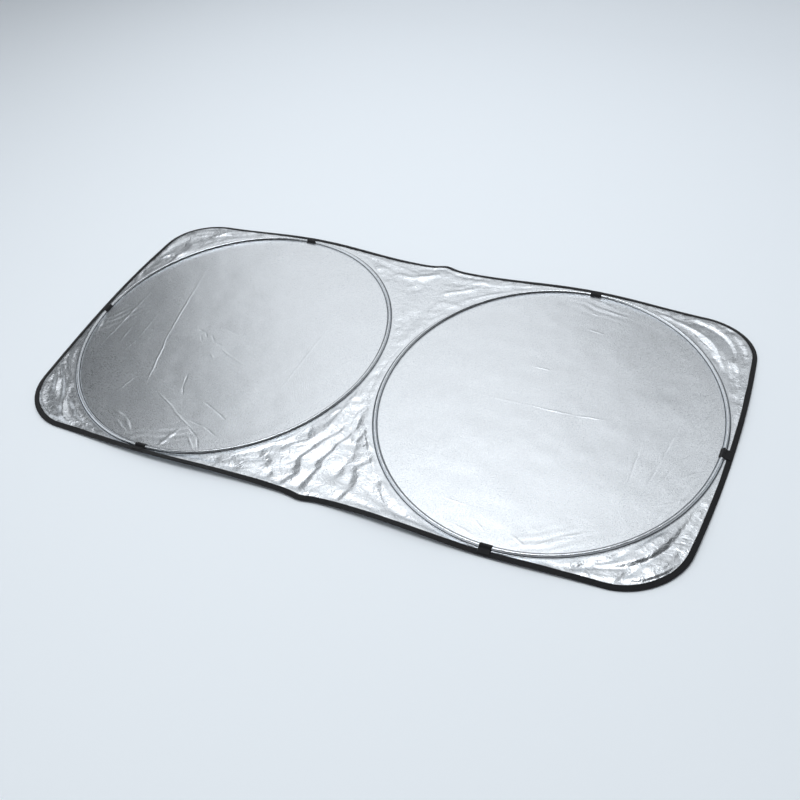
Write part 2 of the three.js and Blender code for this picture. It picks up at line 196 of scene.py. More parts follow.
@dataclass(frozen=True)
class Plan:
    """Shape of the sunshade seen from above, as the solids have it.

    Attributes:
        length: Overall length over the edge tape.
        width: Overall width over the edge tape.
        corner_radius: Corner radius of the outline.
        upper_draw: How far the upper edge draws in between the tabs.
        lower_draw: How far the lower edge draws in between the tabs.
        draw_period: Length of the wave that the long edges draw in by.
        upper_peak: Height of the small peak in the middle of the upper edge.
        lower_peak: Height of the small peak in the middle of the lower edge.
        peak_half_width: Half width of those peaks.
        side_lean: How far the short edges lean in toward the lower edge.
        side_bow: How far the short edges bow out.
        hoop_half_width: Half of a hoop's size along Y.
        hoop_half_length: Half of a hoop's size along X.
        hoop_spacing: Distance between the middles of the two hoops.
        hoop_steps: Number of chords that the solids' hoops have.
    """

    length: float = 1500 * MM
    width: float = 790 * MM
    corner_radius: float = 120 * MM
    upper_draw: float = 20 * MM
    lower_draw: float = 9 * MM
    draw_period: float = 600 * MM
    upper_peak: float = 8 * MM
    lower_peak: float = 4 * MM
    peak_half_width: float = 26 * MM
    side_lean: float = 21 * MM
    side_bow: float = 26 * MM
    hoop_half_width: float = 375.772 * MM
    hoop_half_length: float = 351.64 * MM
    hoop_spacing: float = 747.29 * MM
    hoop_steps: int = 54

    def side_reach(self, y: np.ndarray) -> np.ndarray:
        """Half length of the outline at a place along the short edges.

        Args:
            y: Places along Y.

        Returns:
            Distance from the middle to the short edge at each place.
        """
        share = y / (self.width / 2)
        widest = self.side_lean**2 / (4 * self.side_bow)
        return self.length / 2 + self.side_lean * share - self.side_bow * share**2 - widest

    def long_edge_reach(self, x: np.ndarray, y: np.ndarray) -> np.ndarray:
        """Half width of the outline at a place along the long edges.

        Args:
            x: Places along X.
            y: Places along Y, of which the sign picks the edge.

        Returns:
            Distance from the middle to the long edge at each place.
        """
        wave = (1 - np.cos(2 * np.pi * (np.abs(x) - self.hoop_spacing / 2) / self.draw_period)) / 2
        peak = np.exp(-((x / self.peak_half_width) ** 2))
        upper = self.upper_draw * wave - self.upper_peak * peak
        lower = self.lower_draw * wave - self.lower_peak * peak
        return self.width / 2 - np.where(y > 0, upper, lower)

    def shaped(self, flat: np.ndarray) -> np.ndarray:
        """Moves points of the plain rounded rectangle to the outline's real shape.

        Args:
            flat: Points in the plain rectangle.

        Returns:
            The points in the real outline.
        """
        x, y = flat[..., 0], flat[..., 1]
        across = x * self.side_reach(y) / (self.length / 2)
        along = y * self.long_edge_reach(x, y) / (self.width / 2)
        return np.stack([across, along], axis=-1)

    def outline(self, pitch: float) -> tuple[np.ndarray, np.ndarray]:
        """The outline as points about a pitch apart, counterclockwise.

        Args:
            pitch: Distance between points.

        Returns:
            The points and their outward directions.
        """
        inner_x = self.length / 2 - self.corner_radius
        inner_y = self.width / 2 - self.corner_radius
        arc = np.linspace(0, np.pi / 2, round(self.corner_radius * np.pi / 2 / pitch) + 1)
        turns = [(1, -1, -np.pi / 2), (1, 1, 0), (-1, 1, np.pi / 2), (-1, -1, np.pi)]
        corners = [
            np.column_stack([
                sx * inner_x + self.corner_radius * np.cos(start + arc),
                sy * inner_y + self.corner_radius * np.sin(start + arc),
            ])
            for sx, sy, start in turns
        ]
        path = []
        for corner, following in zip(corners, corners[1:] + corners[:1]):
            path.append(corner)
            steps = round(np.linalg.norm(following[0] - corner[-1]) / pitch)
            share = np.linspace(0, 1, steps + 1)[1:-1, None]
            path.append(corner[-1] * (1 - share) + following[0] * share)
        points = self.shaped(np.concatenate(path))
        return points, outward(points)

    def hoop(self, side: Side, steps: int) -> tuple[np.ndarray, np.ndarray]:
        """One hoop's line as points and their outward directions.

        Args:
            side: The half that the hoop is in.
            steps: Number of points.

        Returns:
            The points and their outward directions.
        """
        angle = np.linspace(0, 2 * np.pi, steps, endpoint=False)
        x = side.value * self.hoop_spacing / 2 + self.hoop_half_length * np.cos(angle)
        points = np.column_stack([x, self.hoop_half_width * np.sin(angle)])
        return points, outward(points)

    def from_hoop(self, x: np.ndarray, y: np.ndarray, side: Side) -> tuple[np.ndarray, np.ndarray]:
        """Where points lie round a hoop.

        Args:
            x: Places along X.
            y: Places along Y.
            side: The half that the hoop is in.

        Returns:
            Distance out from the hoop's line, negative inside, and distance along it.
        """
        dx = x - side.value * self.hoop_spacing / 2
        share = np.hypot(dx / self.hoop_half_length, y / self.hoop_half_width)
        away = np.hypot(dx, y) * (1 - 1 / np.maximum(share, 1e-6))
        turn = np.arctan2(y, side.value * dx)
        return away, turn * self.hoop_half_width

    def from_edge(self, x: np.ndarray, y: np.ndarray) -> np.ndarray:
        """Distance in from the outline.

        Args:
            x: Places along X.
            y: Places along Y.

        Returns:
            The distance at each place, negative outside.
        """
        dx = np.abs(x) * self.length / 2 / self.side_reach(y) - (self.length / 2 - self.corner_radius)
        dy = np.abs(y) * self.width / 2 / self.long_edge_reach(x, y)
        dy = dy - (self.width / 2 - self.corner_radius)
        past = np.hypot(np.maximum(dx, 0), np.maximum(dy, 0))
        return self.corner_radius - past - np.minimum(np.maximum(dx, dy), 0)


PLAN = Plan()


@dataclass(frozen=True)
class Lift:
    """A stretch of the edge that stands off the floor.

    Attributes:
        middle: Plan place of its middle.
        reach: How far along the edge it fades out.
        height: Height of the fold over the floor there.
    """

    middle: tuple[float, float]
    reach: float
    height: float

    def at(self, x: np.ndarray, y: np.ndarray) -> np.ndarray:
        """Height of the fold over the floor at plan places."""
        away = (x - self.middle[0]) ** 2 + (y - self.middle[1]) ** 2
        return self.height * np.exp(-away / self.reach**2)


@dataclass(frozen=True)
class Levels:
    """Heights and insets that the sewn pieces share, as the solids have them.

    Attributes:
        cloth: Height of the cloth.
        cloth_edge: Inset of the cloth's edge, in the tape.
        cloth_bend: Inset at which the cloth leaves the tape, at its own height.
        seam: Height of the underside of a sleeve's flanges.
        tape_fold: Inset and height of the middle of the tape's fold, where it is on the floor.
        tape_droop: Slope that the tape hangs at there.
        tape_leg: Length of each leg of the tape.
        end_share: Share of a lift that the inner end of the tape rises by.
        tape_follow: How closely the cloth's slope in the tape follows the tape's.
        rise_start: How far before its bend the cloth starts to level out.
        rise_reach: Length that it levels out over.
        rise_per_lift: How much longer that is for each metre of lift.
        lifts: Stretches where the edge stands off the floor.
    """

    cloth: float = 5.27 * MM
    cloth_edge: float = 2.6 * MM
    cloth_bend: float = 11.23 * MM
    seam: float = 5.65 * MM
    tape_fold: tuple[float, float] = (1.4 * MM, 1.4 * MM)
    tape_droop: float = math.radians(22)
    tape_leg: float = 9.6 * MM
    end_share: float = 0.5
    tape_follow: float = 1.04
    rise_start: float = 2 * MM
    rise_reach: float = 4 * MM
    rise_per_lift: float = 1.5
    lifts: tuple[Lift, ...] = (
        Lift((-0.27, -0.39), 0.22, 13.0 * MM),
        Lift((-0.66, -0.33), 0.10, 3.0 * MM),
        Lift((0.20, -0.39), 0.16, 11.0 * MM),
        Lift((0.45, -0.39), 0.12, 5.0 * MM),
        Lift((0.70, -0.25), 0.14, 3.4 * MM),
        Lift((0.74, 0.10), 0.14, 3.4 * MM),
        Lift((-0.72, 0.10), 0.15, 2.0 * MM),
        Lift((0.30, 0.39), 0.20, 2.0 * MM),
        Lift((-0.30, 0.39), 0.20, 2.0 * MM),
    )

    def lift_at(self, x: np.ndarray, y: np.ndarray) -> np.ndarray:
        """How far the edge's fold stands off the floor at plan places."""
        return np.max([lift.at(x, y) for lift in self.lifts], axis=0)

    def on_tape(self, along: np.ndarray, across: np.ndarray, lift: np.ndarray) -> np.ndarray:
        """Inset and height of a place on the tape.

        Args:
            along: Distance up the slope from the fold.
            across: Distance square to the slope.
            lift: How far the fold stands off the floor.

        Returns:
            The inset and height, as (..., 2).
        """
        sin = math.sin(self.tape_droop) - (1 - self.end_share) * lift / self.tape_leg
        cos = np.sqrt(1 - sin**2)
        inset = self.tape_fold[0] + along * cos - across * sin
        height = self.tape_fold[1] + lift + along * sin + across * cos
        return np.stack(np.broadcast_arrays(inset, height), axis=-1)

    def cloth_at(self, x: np.ndarray, y: np.ndarray, edge: np.ndarray) -> np.ndarray:
        """Height of the plain cloth at plan places.

        Args:
            x: Places along X.
            y: Places along Y.
            edge: Distance in from the outline at each place.

        Returns:
            The height, which slopes down into the tape.
        """
        lift = self.lift_at(x, y)
        outer = self.on_tape(np.zeros_like(x), np.zeros_like(x), lift)[..., 1]
        inner = self.on_tape(np.full_like(x, self.tape_leg), np.zeros_like(x), lift)[..., 1]
        share = (edge - self.tape_fold[0]) / (self.cloth_bend - self.tape_fold[0])
        in_tape = outer + (inner - outer) * np.clip(share * self.tape_follow, 0, 1)
        past = edge - self.cloth_bend + self.rise_start
        level = fade(past / (self.rise_reach + self.rise_per_lift * lift))
        return in_tape + (self.cloth - in_tape) * level


LEVELS = Levels()


def outward(points: np.ndarray) -> np.ndarray:
    """Directions out of a closed counterclockwise line, one at each point.

    Args:
        points: Points of the line.

    Returns:
        A unit direction for each point.
    """
    along = np.roll(points, -1, axis=0) - np.roll(points, 1, axis=0)
    out = np.column_stack([along[:, 1], -along[:, 0]])
    return out / np.linalg.norm(out, axis=1, keepdims=True)


def path_lengths(points: np.ndarray) -> np.ndarray:
    """Distance along a closed line at each point."""
    steps = np.linalg.norm(np.roll(points, -1, axis=0) - points, axis=1)
    return np.concatenate([[0], np.cumsum(steps)[:-1]])


def interpolated(where: np.ndarray, lengths: np.ndarray, values: np.ndarray) -> np.ndarray:
    """Values of a line, as (count, 3), at distances along it.

    Args:
        where: Distances to read the values at.
        lengths: Distance along the line at each value.
        values: The values.

    Returns:
        The values there.
    """
    return np.stack([np.interp(where, lengths, values[:, k]) for k in range(3)], axis=-1)


def offset_line(line: np.ndarray, distance: np.ndarray) -> np.ndarray:
    """Moves an open line of a section to its left.

    Args:
        line: Points of the line, as (..., points, 2).
        distance: How far each point moves.

    Returns:
        The moved points.
    """
    along = np.gradient(line, axis=-2)
    along = along / np.linalg.norm(along, axis=-1, keepdims=True)
    left = np.stack([-along[..., 1], along[..., 0]], axis=-1)
    return line + left * np.asarray(distance)[..., None]


def mesh_piece(
    name: str, vertices: np.ndarray, faces: np.ndarray, uv: np.ndarray | None = None
) -> bpy.types.Object:
    """Makes a smooth-shaded object.

    Args:
        name: The object's name.
        vertices: Points as (count, 3).
        faces: Corner numbers as (count, corners).
        uv: Texture place of each corner in metres, as (faces, corners, 2).

    Returns:
        The object, linked to the scene.
    """
    mesh = bpy.data.meshes.new(name)
    mesh.from_pydata(vertices.tolist(), [], faces.tolist())
    if uv is not None:
        layer = mesh.uv_layers.new(name="cloth")
        layer.data.foreach_set("uv", uv.astype(np.float32).ravel())
    mesh.shade_smooth()
    mesh.validate()
    piece = bpy.data.objects.new(name, mesh)
    bpy.context.scene.collection.objects.link(piece)
    return piece


def grid_faces(rows: int, columns: int, wrap: bool) -> tuple[np.ndarray, np.ndarray]:
    """Quads of a grid of points.

    Args:
        rows: Points along the first direction.
        columns: Points along the second direction.
        wrap: Whether the first direction closes on itself.

    Returns:
        Point numbers of each quad, and the row and column of each corner before wrapping.
    """
    i, j = np.meshgrid(np.arange(rows if wrap else rows - 1), np.arange(columns - 1), indexing="ij")
    corner = np.stack([[i, j], [i + 1, j], [i + 1, j + 1], [i, j + 1]])
    corner = corner.transpose(2, 3, 0, 1).reshape(-1, 4, 2)
    return (corner[..., 0] % rows) * columns + corner[..., 1], corner


def slab_piece(
    name: str, top: np.ndarray, bottom: np.ndarray, lengths: np.ndarray, wrap: bool
) -> bpy.types.Object:
    """Makes a closed piece of woven band between an upper and a lower face.

    Args:
        name: The object's name.
        top: Points of the upper face, as (stations, points, 3).
        bottom: Points of the lower face, in the same order.
        lengths: Distance along the band at each station.
        wrap: Whether the band closes on itself.

    Returns:
        The object, whose texture places run along and across the band in metres.
    """
    rows, columns = top.shape[:2]
    count = rows * columns
    upper, corner = grid_faces(rows, columns, wrap)
    spread = np.concatenate([[0], np.cumsum(np.linalg.norm(np.diff(top[0], axis=0), axis=1))])
    stations = np.append(lengths, 2 * lengths[-1] - lengths[-2])
    place = np.stack([stations[corner[..., 0]], spread[corner[..., 1]]], axis=-1)
    faces = [upper, upper[:, ::-1] + count]
    places = [place, place[:, ::-1]]
    starts = np.arange(rows if wrap else rows - 1)
    for column, order in ((0, (0, 1, 2, 3)), (columns - 1, (3, 2, 1, 0))):
        a, b = starts * columns + column, (starts + 1) % rows * columns + column
        faces.append(np.column_stack([a, a + count, b + count, b])[:, order])
        rim = np.stack([stations[starts + s] for s in (0, 0, 1, 1)], axis=-1)[:, order]
        places.append(np.stack([rim, np.full_like(rim, spread[column])], axis=-1))
    if not wrap:
        across = np.arange(columns - 1)
        for row, order in ((0, (3, 2, 1, 0)), (rows - 1, (0, 1, 2, 3))):
            a, b = row * columns + across, row * columns + across + 1
            faces.append(np.column_stack([a, a + count, b + count, b])[:, order])
            rim = np.stack([spread[across + s] for s in (0, 0, 1, 1)], axis=-1)[:, order]
            places.append(np.stack([np.full_like(rim, stations[row]), rim], axis=-1))
    vertices = np.concatenate([top.reshape(-1, 3), bottom.reshape(-1, 3)])
    return mesh_piece(name, vertices, np.concatenate(faces), np.concatenate(places))


def placed(points: np.ndarray, out: np.ndarray, section: np.ndarray) -> np.ndarray:
    """Sets sections of (outward, height) at plan points.

    Args:
        points: Plan points, as (stations, 2).
        out: Outward directions at them.
        section: Section at each station, as (stations, points, 2).

    Returns:
        Points in space, as (stations, points, 3).
    """
    flat = points[:, None, :] + out[:, None, :] * section[..., :1]
    return np.concatenate([flat, section[..., 1:]], axis=-1)


# Finishes


@dataclass(frozen=True)
class Crease:
    """A crease that folding left in the cloth, as one or more straight stretches.

    Attributes:
        line: Plan places that it runs through, in millimetres.
        height: Height of the crease in millimetres, negative where it dips.
        half_width: Half width of the crease in millimetres.
    """

    line: tuple[tuple[float, float], ...]
    height: float
    half_width: float = 3.2


HOOP_CREASES = (
    Crease(((-577, 180), (-540, 10)), 0.19),
    Crease(((-560, 95), (-520, -80)), 0.42),
    Crease(((-528, -50), (-478, -210)), 0.62),
    Crease(((-664, 95), (-660, -150)), 0.39),
    Crease(((-629, -60), (-622, -115)), 0.35),
    Crease(((-596, -5), (-588, -90), (-594, -145)), 0.22),
    Crease(((-472, -16), (-445, -22), (-431, -38)), -0.42),
    Crease(((-450, -36), (-436, -52)), -0.32),
    Crease(((-426, -24), (-403, -47), (-380, -52)), -0.32),
    Crease(((-379, -62), (-338, -77)), 0.4),
    Crease(((-345, -75), (-293, -94)), 0.19),
    Crease(((-405, 4), (-362, -7), (-348, 1)), -0.26),
    Crease(((-392, -83), (-376, -95)), 0.32),
    Crease(((-404, -158), (-392, -194), (-377, -219)), -0.48),
    Crease(((-432, -229), (-360, -267)), 0.5),
    Crease(((-375, -262), (-300, -300)), 0.57, 3.4),
    Crease(((-312, -296), (-277, -316), (-256, -343)), -0.51, 3.4),
    Crease(((-324, -280), (-282, -284), (-236, -301)), -0.48),
    Crease(((-321, -222), (-287, -234), (-246, -254)), -0.48),
    Crease(((-527, -256), (-512, -200)), 0.32),
    Crease(((-497, -304), (-456, -317), (-424, -345)), 0.72, 5.2),
    Crease(((-474, -327), (-428, -353)), 0.5, 3.9),
    Crease(((-710, 6), (-668, 12)), -0.43, 3.9),
    Crease(((-174, 95), (-182, -145)), 0.2),
    Crease(((-717, -48), (-698, -107)), 0.72, 5.2),
    Crease(((-326, -306), (-342, -364)), 0.64, 6.5),
    Crease(((-302, -316), (-262, -350)), 0.43, 3.9),
    Crease(((213, -14), (365, -11)), 0.21),
    Crease(((352, -12), (430, -10), (497, -4)), 0.51),
    Crease(((308, 102), (352, 103)), 0.49),
    Crease(((384, 257), (432, 249)), 0.49),
    Crease(((374, 361), (426, 346)), 0.72, 6.5),
    Crease(((390, 337), (460, 321)), 0.49, 5.2),
    Crease(((380, 313), (400, 309)), 0.4),
    Crease(((690, 77), (667, 32), (656, 3)), 0.49),
    Crease(((637, 45), (630, -8)), -0.24),
    Crease(((631, 0), (617, -84), (606, -150)), -0.51),
    Crease(((695, 35), (673, -31), (646, -73)), -0.48),
    Crease(((649, -68), (624, -146)), -0.51),
    Crease(((663, 182), (649, 92)), 0.27),
    Crease(((575, -45), (573, -155)), -0.31),
    Crease(((705, -43), (688, -84), (664, -108)), 0.57, 3.9),
    Crease(((634, -186), (662, -168), (686, -150)), 0.43, 3.4),
    Crease(((453, -347), (483, -315), (528, -288)), 0.57, 3.9),
    Crease(((258, -293), (311, -298)), 0.35),
    Crease(((425, -55), (425, -190)), 0.13),
    Crease(((436, 98), (436, 35)), -0.16),
    Crease(((300, -345), (347, -359)), 0.43, 3.9),
    Crease(((330, -322), (362, -345)), 0.36, 3.4),
    Crease(((403, -334), (442, -351)), 0.43, 3.9),
)

SLACK_CREASES = (
    Crease(((42, -186), (72, -233), (103, -277)), -0.6),
    Crease(((88, -289), (123, -307), (173, -361)), -0.7, 3.8),
    Crease(((-16, -242), (-88, -283)), -0.45, 2.4),
    Crease(((-66, -190), (-83, -256)), -0.35, 2.0),
    Crease(((-28, -158), (-36, -230)), -0.35, 2.4),
    Crease(((-5, -215), (6, -254)), -0.45, 3.0),
    Crease(((-101, -321), (-141, -337), (-156, -359)), -0.6, 3.0),
    Crease(((13, 80), (5, 22), (0, -54)), -0.6, 3.8),
    Crease(((32, 142), (20, 82)), -0.5, 3.0),
    Crease(((40, 165), (33, 140)), -0.5, 3.0),
    Crease(((-48, 215), (-16, 156), (-9, 82)), -0.4, 2.2),
    Crease(((-9, 347), (-7, 235)), -0.16, 1.6),
    Crease(((598, 322), (672, 248)), -0.5, 3.0),
    Crease(((686, -243), (708, -240)), -0.6, 4.0),
    Crease(((680, -256), (706, -254)), -0.7, 4.5),
    Crease(((668, -275), (698, -272)), -0.4, 4.0),
    Crease(((-702, 223), (-684, 207)), -0.5, 3.0),
    Crease(((-676, -318), (-646, -322), (-660, -340)), 0.5, 3.0),
)


@dataclass(frozen=True)
class Finish:
    """A material of the object.

    Attributes:
        name: Name of the material.
        colour: Colour as sRGB hex.
        roughness: Roughness of the surface.
        metallic: 1 for a metal surface and 0 for others.
    """

    name: str
    colour: str
    roughness: float
    metallic: float = 0.0

    def start(self) -> tuple[bpy.types.Material, bpy.types.NodeTree, bpy.types.Node]:
        """Makes the material with its shader.

        Returns:
            The material, its node tree and its shader node.
        """
        material = bpy.data.materials.new(self.name)
        material.use_nodes = True
        tree = material.node_tree
        shader = tree.nodes["Principled BSDF"]
        shader.inputs["Base Color"].default_value = linear(self.colour)
        shader.inputs["Roughness"].default_value = self.roughness
        shader.inputs["Metallic"].default_value = self.metallic
        return material, tree, shader


def woven_height(
    tree: bpy.types.NodeTree, where: bpy.types.NodeSocket, spacing: float
) -> bpy.types.NodeSocket:
    """Height of a plain weave, as two sets of waves that cross.

    Args:
        tree: The material's tree.
        where: Texture place in metres.
        spacing: Thread spacing in metres.

    Returns:
        The socket that gives the height, from 0 to 1.
    """
    scale = math.pi / (10 * spacing)
    warp, weft = (
        add_node(
            tree, "TexWave", {"bands_direction": direction}, Vector=where, Scale=scale, Distortion=0.6
        ).outputs["Fac"]
        for direction in "XY"
    )
    return add_node(tree, "Math", {"operation": "MAXIMUM"}, in0=warp, in1=weft).outputs[0]


@dataclass(frozen=True)
class SilveredPolyester(Finish):
    """Woven polyester taffeta with aluminium deposited on its face.

    The vapour-deposited metal gives a cool grey mirror that the weave breaks up into satin, with a
    fine sparkle where single threads catch the light. Where it is slack it crumples like foil.

    Attributes:
        weave: Thread spacing. The real one is 0.13 mm, and it is drawn coarser so that it shows.
        grain: Size of the sparkle's grains, which are clusters of threads.
        crinkle: Size of the fine crinkles that handling leaves.
        weave_depth: Depth of the weave in the bump.
        grain_depth: Depth of the grains in the bump.
        taut_depth: Depth of the crinkles where the cloth is taut.
        slack_depth: Depth of the crinkles where it is slack.
        creases: Creases that folding left.
        crease_lap: How far the stretches of a crease lap, as a share of their length.
        crease_wander: How far the creases wander, in millimetres.
        roughness_spread: How far the roughness varies to each side from grain to grain.
        dark_grain: Colour of the darkest grains, as sRGB hex.
        light_grain: Colour of the lightest grains, as sRGB hex.
    """

    name: str = "silvered_polyester"
    colour: str = "#D3DAE1"
    roughness: float = 0.3
    metallic: float = 1.0
    weave: float = 2.2 * MM
    grain: float = 2.3 * MM
    crinkle: float = 15 * MM
    weave_depth: float = 0.1 * MM
    grain_depth: float = 0.17 * MM
    taut_depth: float = 0.012 * MM
    slack_depth: float = 0.32 * MM
    creases: tuple[Crease, ...] = ()
    crease_lap: float = 1.15
    crease_wander: float = 5.0
    roughness_spread: float = 0.07
    dark_grain: str = "#B8C1CA"
    light_grain: str = "#F2F6FA"

    def build(self) -> bpy.types.Material:
        """Makes the material with its weave, crinkles, creases and sparkle.

        Returns:
            The material.
        """
        material, tree, shader = self.start()
        where = add_node(tree, "TexCoord").outputs["Object"]
        grain = add_node(tree, "TexNoise", Vector=where, Scale=1 / self.grain, Detail=3.0, Roughness=0.75)
        rough = add_node(
            tree, "MapRange", Value=grain.outputs["Fac"], From_Min=0.3, From_Max=0.7,
            To_Min=self.roughness - self.roughness_spread,
            To_Max=self.roughness + self.roughness_spread,
        )
        tree.links.new(rough.outputs["Result"], shader.inputs["Roughness"])
        tint = add_node(
            tree, "MixRGB", Fac=grain.outputs["Fac"], Color1=linear(self.dark_grain),
            Color2=linear(self.light_grain),
        )
        tree.links.new(tint.outputs["Color"], shader.inputs["Base Color"])

        slack = add_node(tree, "Attribute", {"attribute_name": "slack"}).outputs["Fac"]
        depth = add_node(tree, "MapRange", Value=slack, To_Min=self.taut_depth, To_Max=self.slack_depth)
        crinkle = add_node(
            tree, "TexNoise", {"noise_type": "RIDGED_MULTIFRACTAL", "normalize": False}, Vector=where,
            Scale=1 / self.crinkle, Detail=4.0, Roughness=0.55, Distortion=0.8, Offset=0.9, Gain=1.6,
        )
        height = add_node(
            tree, "Math", {"operation": "MULTIPLY"}, in0=crinkle.outputs["Fac"], in1=depth.outputs["Result"]
        ).outputs[0]
        height = self.add_creases(tree, where, height)
        broad = add_node(tree, "Bump", Height=height, Distance=1.0, Strength=1.0)
        fine = add_node(
            tree, "Bump", Height=woven_height(tree, where, self.weave), Distance=self.weave_depth,
            Strength=1.0, Normal=broad.outputs["Normal"],
        )
        sparkle = add_node(
            tree, "Bump", Height=grain.outputs["Fac"], Distance=self.grain_depth, Strength=1.0,
            Normal=fine.outputs["Normal"],
        )
        tree.links.new(sparkle.outputs["Normal"], shader.inputs["Normal"])
        return material

    def add_creases(
        self, tree: bpy.types.NodeTree, where: bpy.types.NodeSocket, height: bpy.types.NodeSocket
    ) -> bpy.types.NodeSocket:
        """Adds the sharp creases, each a long low ridge that a mapped spherical gradient gives.

        Args:
            tree: The material's tree.
            where: Place on the cloth in metres.
            height: Height so far in metres.

        Returns:
            The height with the creases.
        """
        if not self.creases:
            return height
        wander = self.crease_wander
        noise = add_node(tree, "TexNoise", Vector=where, Scale=1 / (30 * MM), Detail=2.0)
        shift = add_node(
            tree, "VectorMath", {"operation": "MULTIPLY_ADD"}, in0=noise.outputs["Color"],
            in1=(wander * MM, wander * MM, 0), in2=where,
        )
        stretches = [
            (start, end, crease)
            for crease in self.creases
            for start, end in zip(crease.line, crease.line[1:])
        ]
        for (x0, y0), (x1, y1), crease in stretches:
            half_length = math.hypot(x1 - x0, y1 - y0) / 2 * self.crease_lap
            middle = ((x0 + x1 + wander) / 2 * MM, (y0 + y1 + wander) / 2 * MM, 0)
            local = add_node(
                tree, "Mapping", {"vector_type": "TEXTURE"}, Vector=shift.outputs["Vector"],
                Location=middle, Rotation=(0, 0, math.atan2(y1 - y0, x1 - x0)),
                Scale=(half_length * MM, crease.half_width * MM, 1.0),
            )
            ridge = add_node(
                tree, "TexGradient", {"gradient_type": "SPHERICAL"}, Vector=local.outputs["Vector"]
            )
            height = add_node(
                tree, "Math", {"operation": "MULTIPLY_ADD"}, in0=ridge.outputs["Fac"],
                in1=crease.height * MM, in2=height,
            ).outputs[0]
        return height


@dataclass(frozen=True)
class SleeveCloth(SilveredPolyester):
    """The same cloth sewn as a sleeve, folded hard where each row of stitches pulls it down.

    No light gets into the fold at the foot of the arch, and that shade is painted into the cloth's colour
    as a dark line.

    Attributes:
        seams: Places of the two painted shade lines across the sleeve, at its folds, from the end of one
            flange.
        groove: Half width of a painted shade line in a fold.
        shade: Colour of the painted shade in a fold, as sRGB hex.
    """

    name: str = "silvered_polyester_sleeve"
    roughness: float = 0.2
    weave: float = 1.6 * MM
    grain_depth: float = 0.1 * MM
    seams: tuple[float, float] = (2.0 * MM, 14.4 * MM)
    groove: float = 1.3 * MM
    shade: str = "#2C323A"

    def build(self) -> bpy.types.Material:
        """Makes the material with painted shade in the folds along its seams.

        Returns:
            The material.
        """
        material = super().build()
        tree = material.node_tree
        base = tree.nodes["Principled BSDF"].inputs["Base Color"]
        colour = base.links[0].from_socket
        place = add_node(tree, "TexCoord").outputs["UV"]
        across = add_node(tree, "SeparateXYZ", Vector=place).outputs["Y"]
        for seam in self.seams:
            past = add_node(tree, "Math", {"operation": "SUBTRACT"}, in0=across, in1=seam)
            away = add_node(tree, "Math", {"operation": "ABSOLUTE"}, in0=past.outputs[0])
            # Mask of the painted shade: 1 in the middle of the fold, fading to 0 past its half width.
            fold = add_node(
                tree, "MapRange", Value=away.outputs[0], From_Min=self.groove / 2,
                From_Max=self.groove, To_Min=1.0, To_Max=0.0,
            )
            # Mixes the painted shade colour into the cloth's colour along the fold.
            colour = add_node(
                tree, "MixRGB", Fac=fold.outputs["Result"], Color1=colour, Color2=linear(self.shade)
            ).outputs["Color"]
        tree.links.new(colour, base)
        return material


@dataclass(frozen=True)
class WovenTape(Finish):
    """Black polyester binding tape, woven in a fine rib and dyed.

    The dyed yarn gives a matt black, and the rib breaks up what gloss it has.

    Attributes:
        rib: Distance between ribs. The real one is 0.4 mm, and it is drawn coarser so that it shows.
        rib_depth: Depth of the ribs in the bump.
        fuzz: Size of the uneven patches of the dyed yarn.
        dark_yarn: Colour of the darkest yarn, as sRGB hex.
        light_yarn: Colour of the lightest yarn, as sRGB hex.
        sheen: Strength of the soft gleam of the yarn's fibres.
    """

    name: str = "polyester_binding_tape"
    colour: str = "#111214"
    roughness: float = 0.7
    rib: float = 0.9 * MM
    rib_depth: float = 0.25 * MM
    fuzz: float = 5 * MM
    dark_yarn: str = "#05070A"
    light_yarn: str = "#13151A"
    sheen: float = 0.05

    def build(self) -> bpy.types.Material:
        """Makes the material with its ribs and uneven dye.

        Returns:
            The material.
        """
        material, tree, shader = self.start()
        where = add_node(tree, "TexCoord").outputs["UV"]
        patch = add_node(tree, "TexNoise", Vector=where, Scale=1 / self.fuzz, Detail=4.0, Roughness=0.7)
        tint = add_node(
            tree, "MixRGB", Fac=patch.outputs["Fac"], Color1=linear(self.dark_yarn),
            Color2=linear(self.light_yarn),
        )
        tree.links.new(tint.outputs["Color"], shader.inputs["Base Color"])
        shader.inputs["Specular IOR Level"].default_value = 0.3
        shader.inputs["Sheen Weight"].default_value = self.sheen
        shader.inputs["Sheen Roughness"].default_value = 0.5
        rib = add_node(
            tree, "Bump", Height=woven_height(tree, where, self.rib), Distance=self.rib_depth, Strength=0.8
        )
        tree.links.new(rib.outputs["Normal"], shader.inputs["Normal"])
        return material


@dataclass(frozen=True)
class SewingThread(Finish):
    """Twisted polyester sewing thread, whose two plies catch the light in turn.

    Attributes:
        twist: Length of one turn of the plies.
        ply_depth: Depth of the groove between the plies in the bump.
    """

    name: str = "sewing_thread"
    colour: str = "#1D1E21"
    roughness: float = 0.55
    twist: float = 0.8 * MM
    ply_depth: float = 0.05 * MM

    def build(self) -> bpy.types.Material:
        """Makes the material with its twist.

        Returns:
            The material.
        """
        material, tree, shader = self.start()
        where = add_node(tree, "TexCoord").outputs["Object"]
        plies = add_node(
            tree, "TexWave", {"bands_direction": "DIAGONAL"}, Vector=where,
            Scale=math.pi / (10 * self.twist),
        )
        bump = add_node(
            tree, "Bump", Height=plies.outputs["Fac"], Distance=self.ply_depth, Strength=0.6
        )
        tree.links.new(bump.outputs["Normal"], shader.inputs["Normal"])
        return material


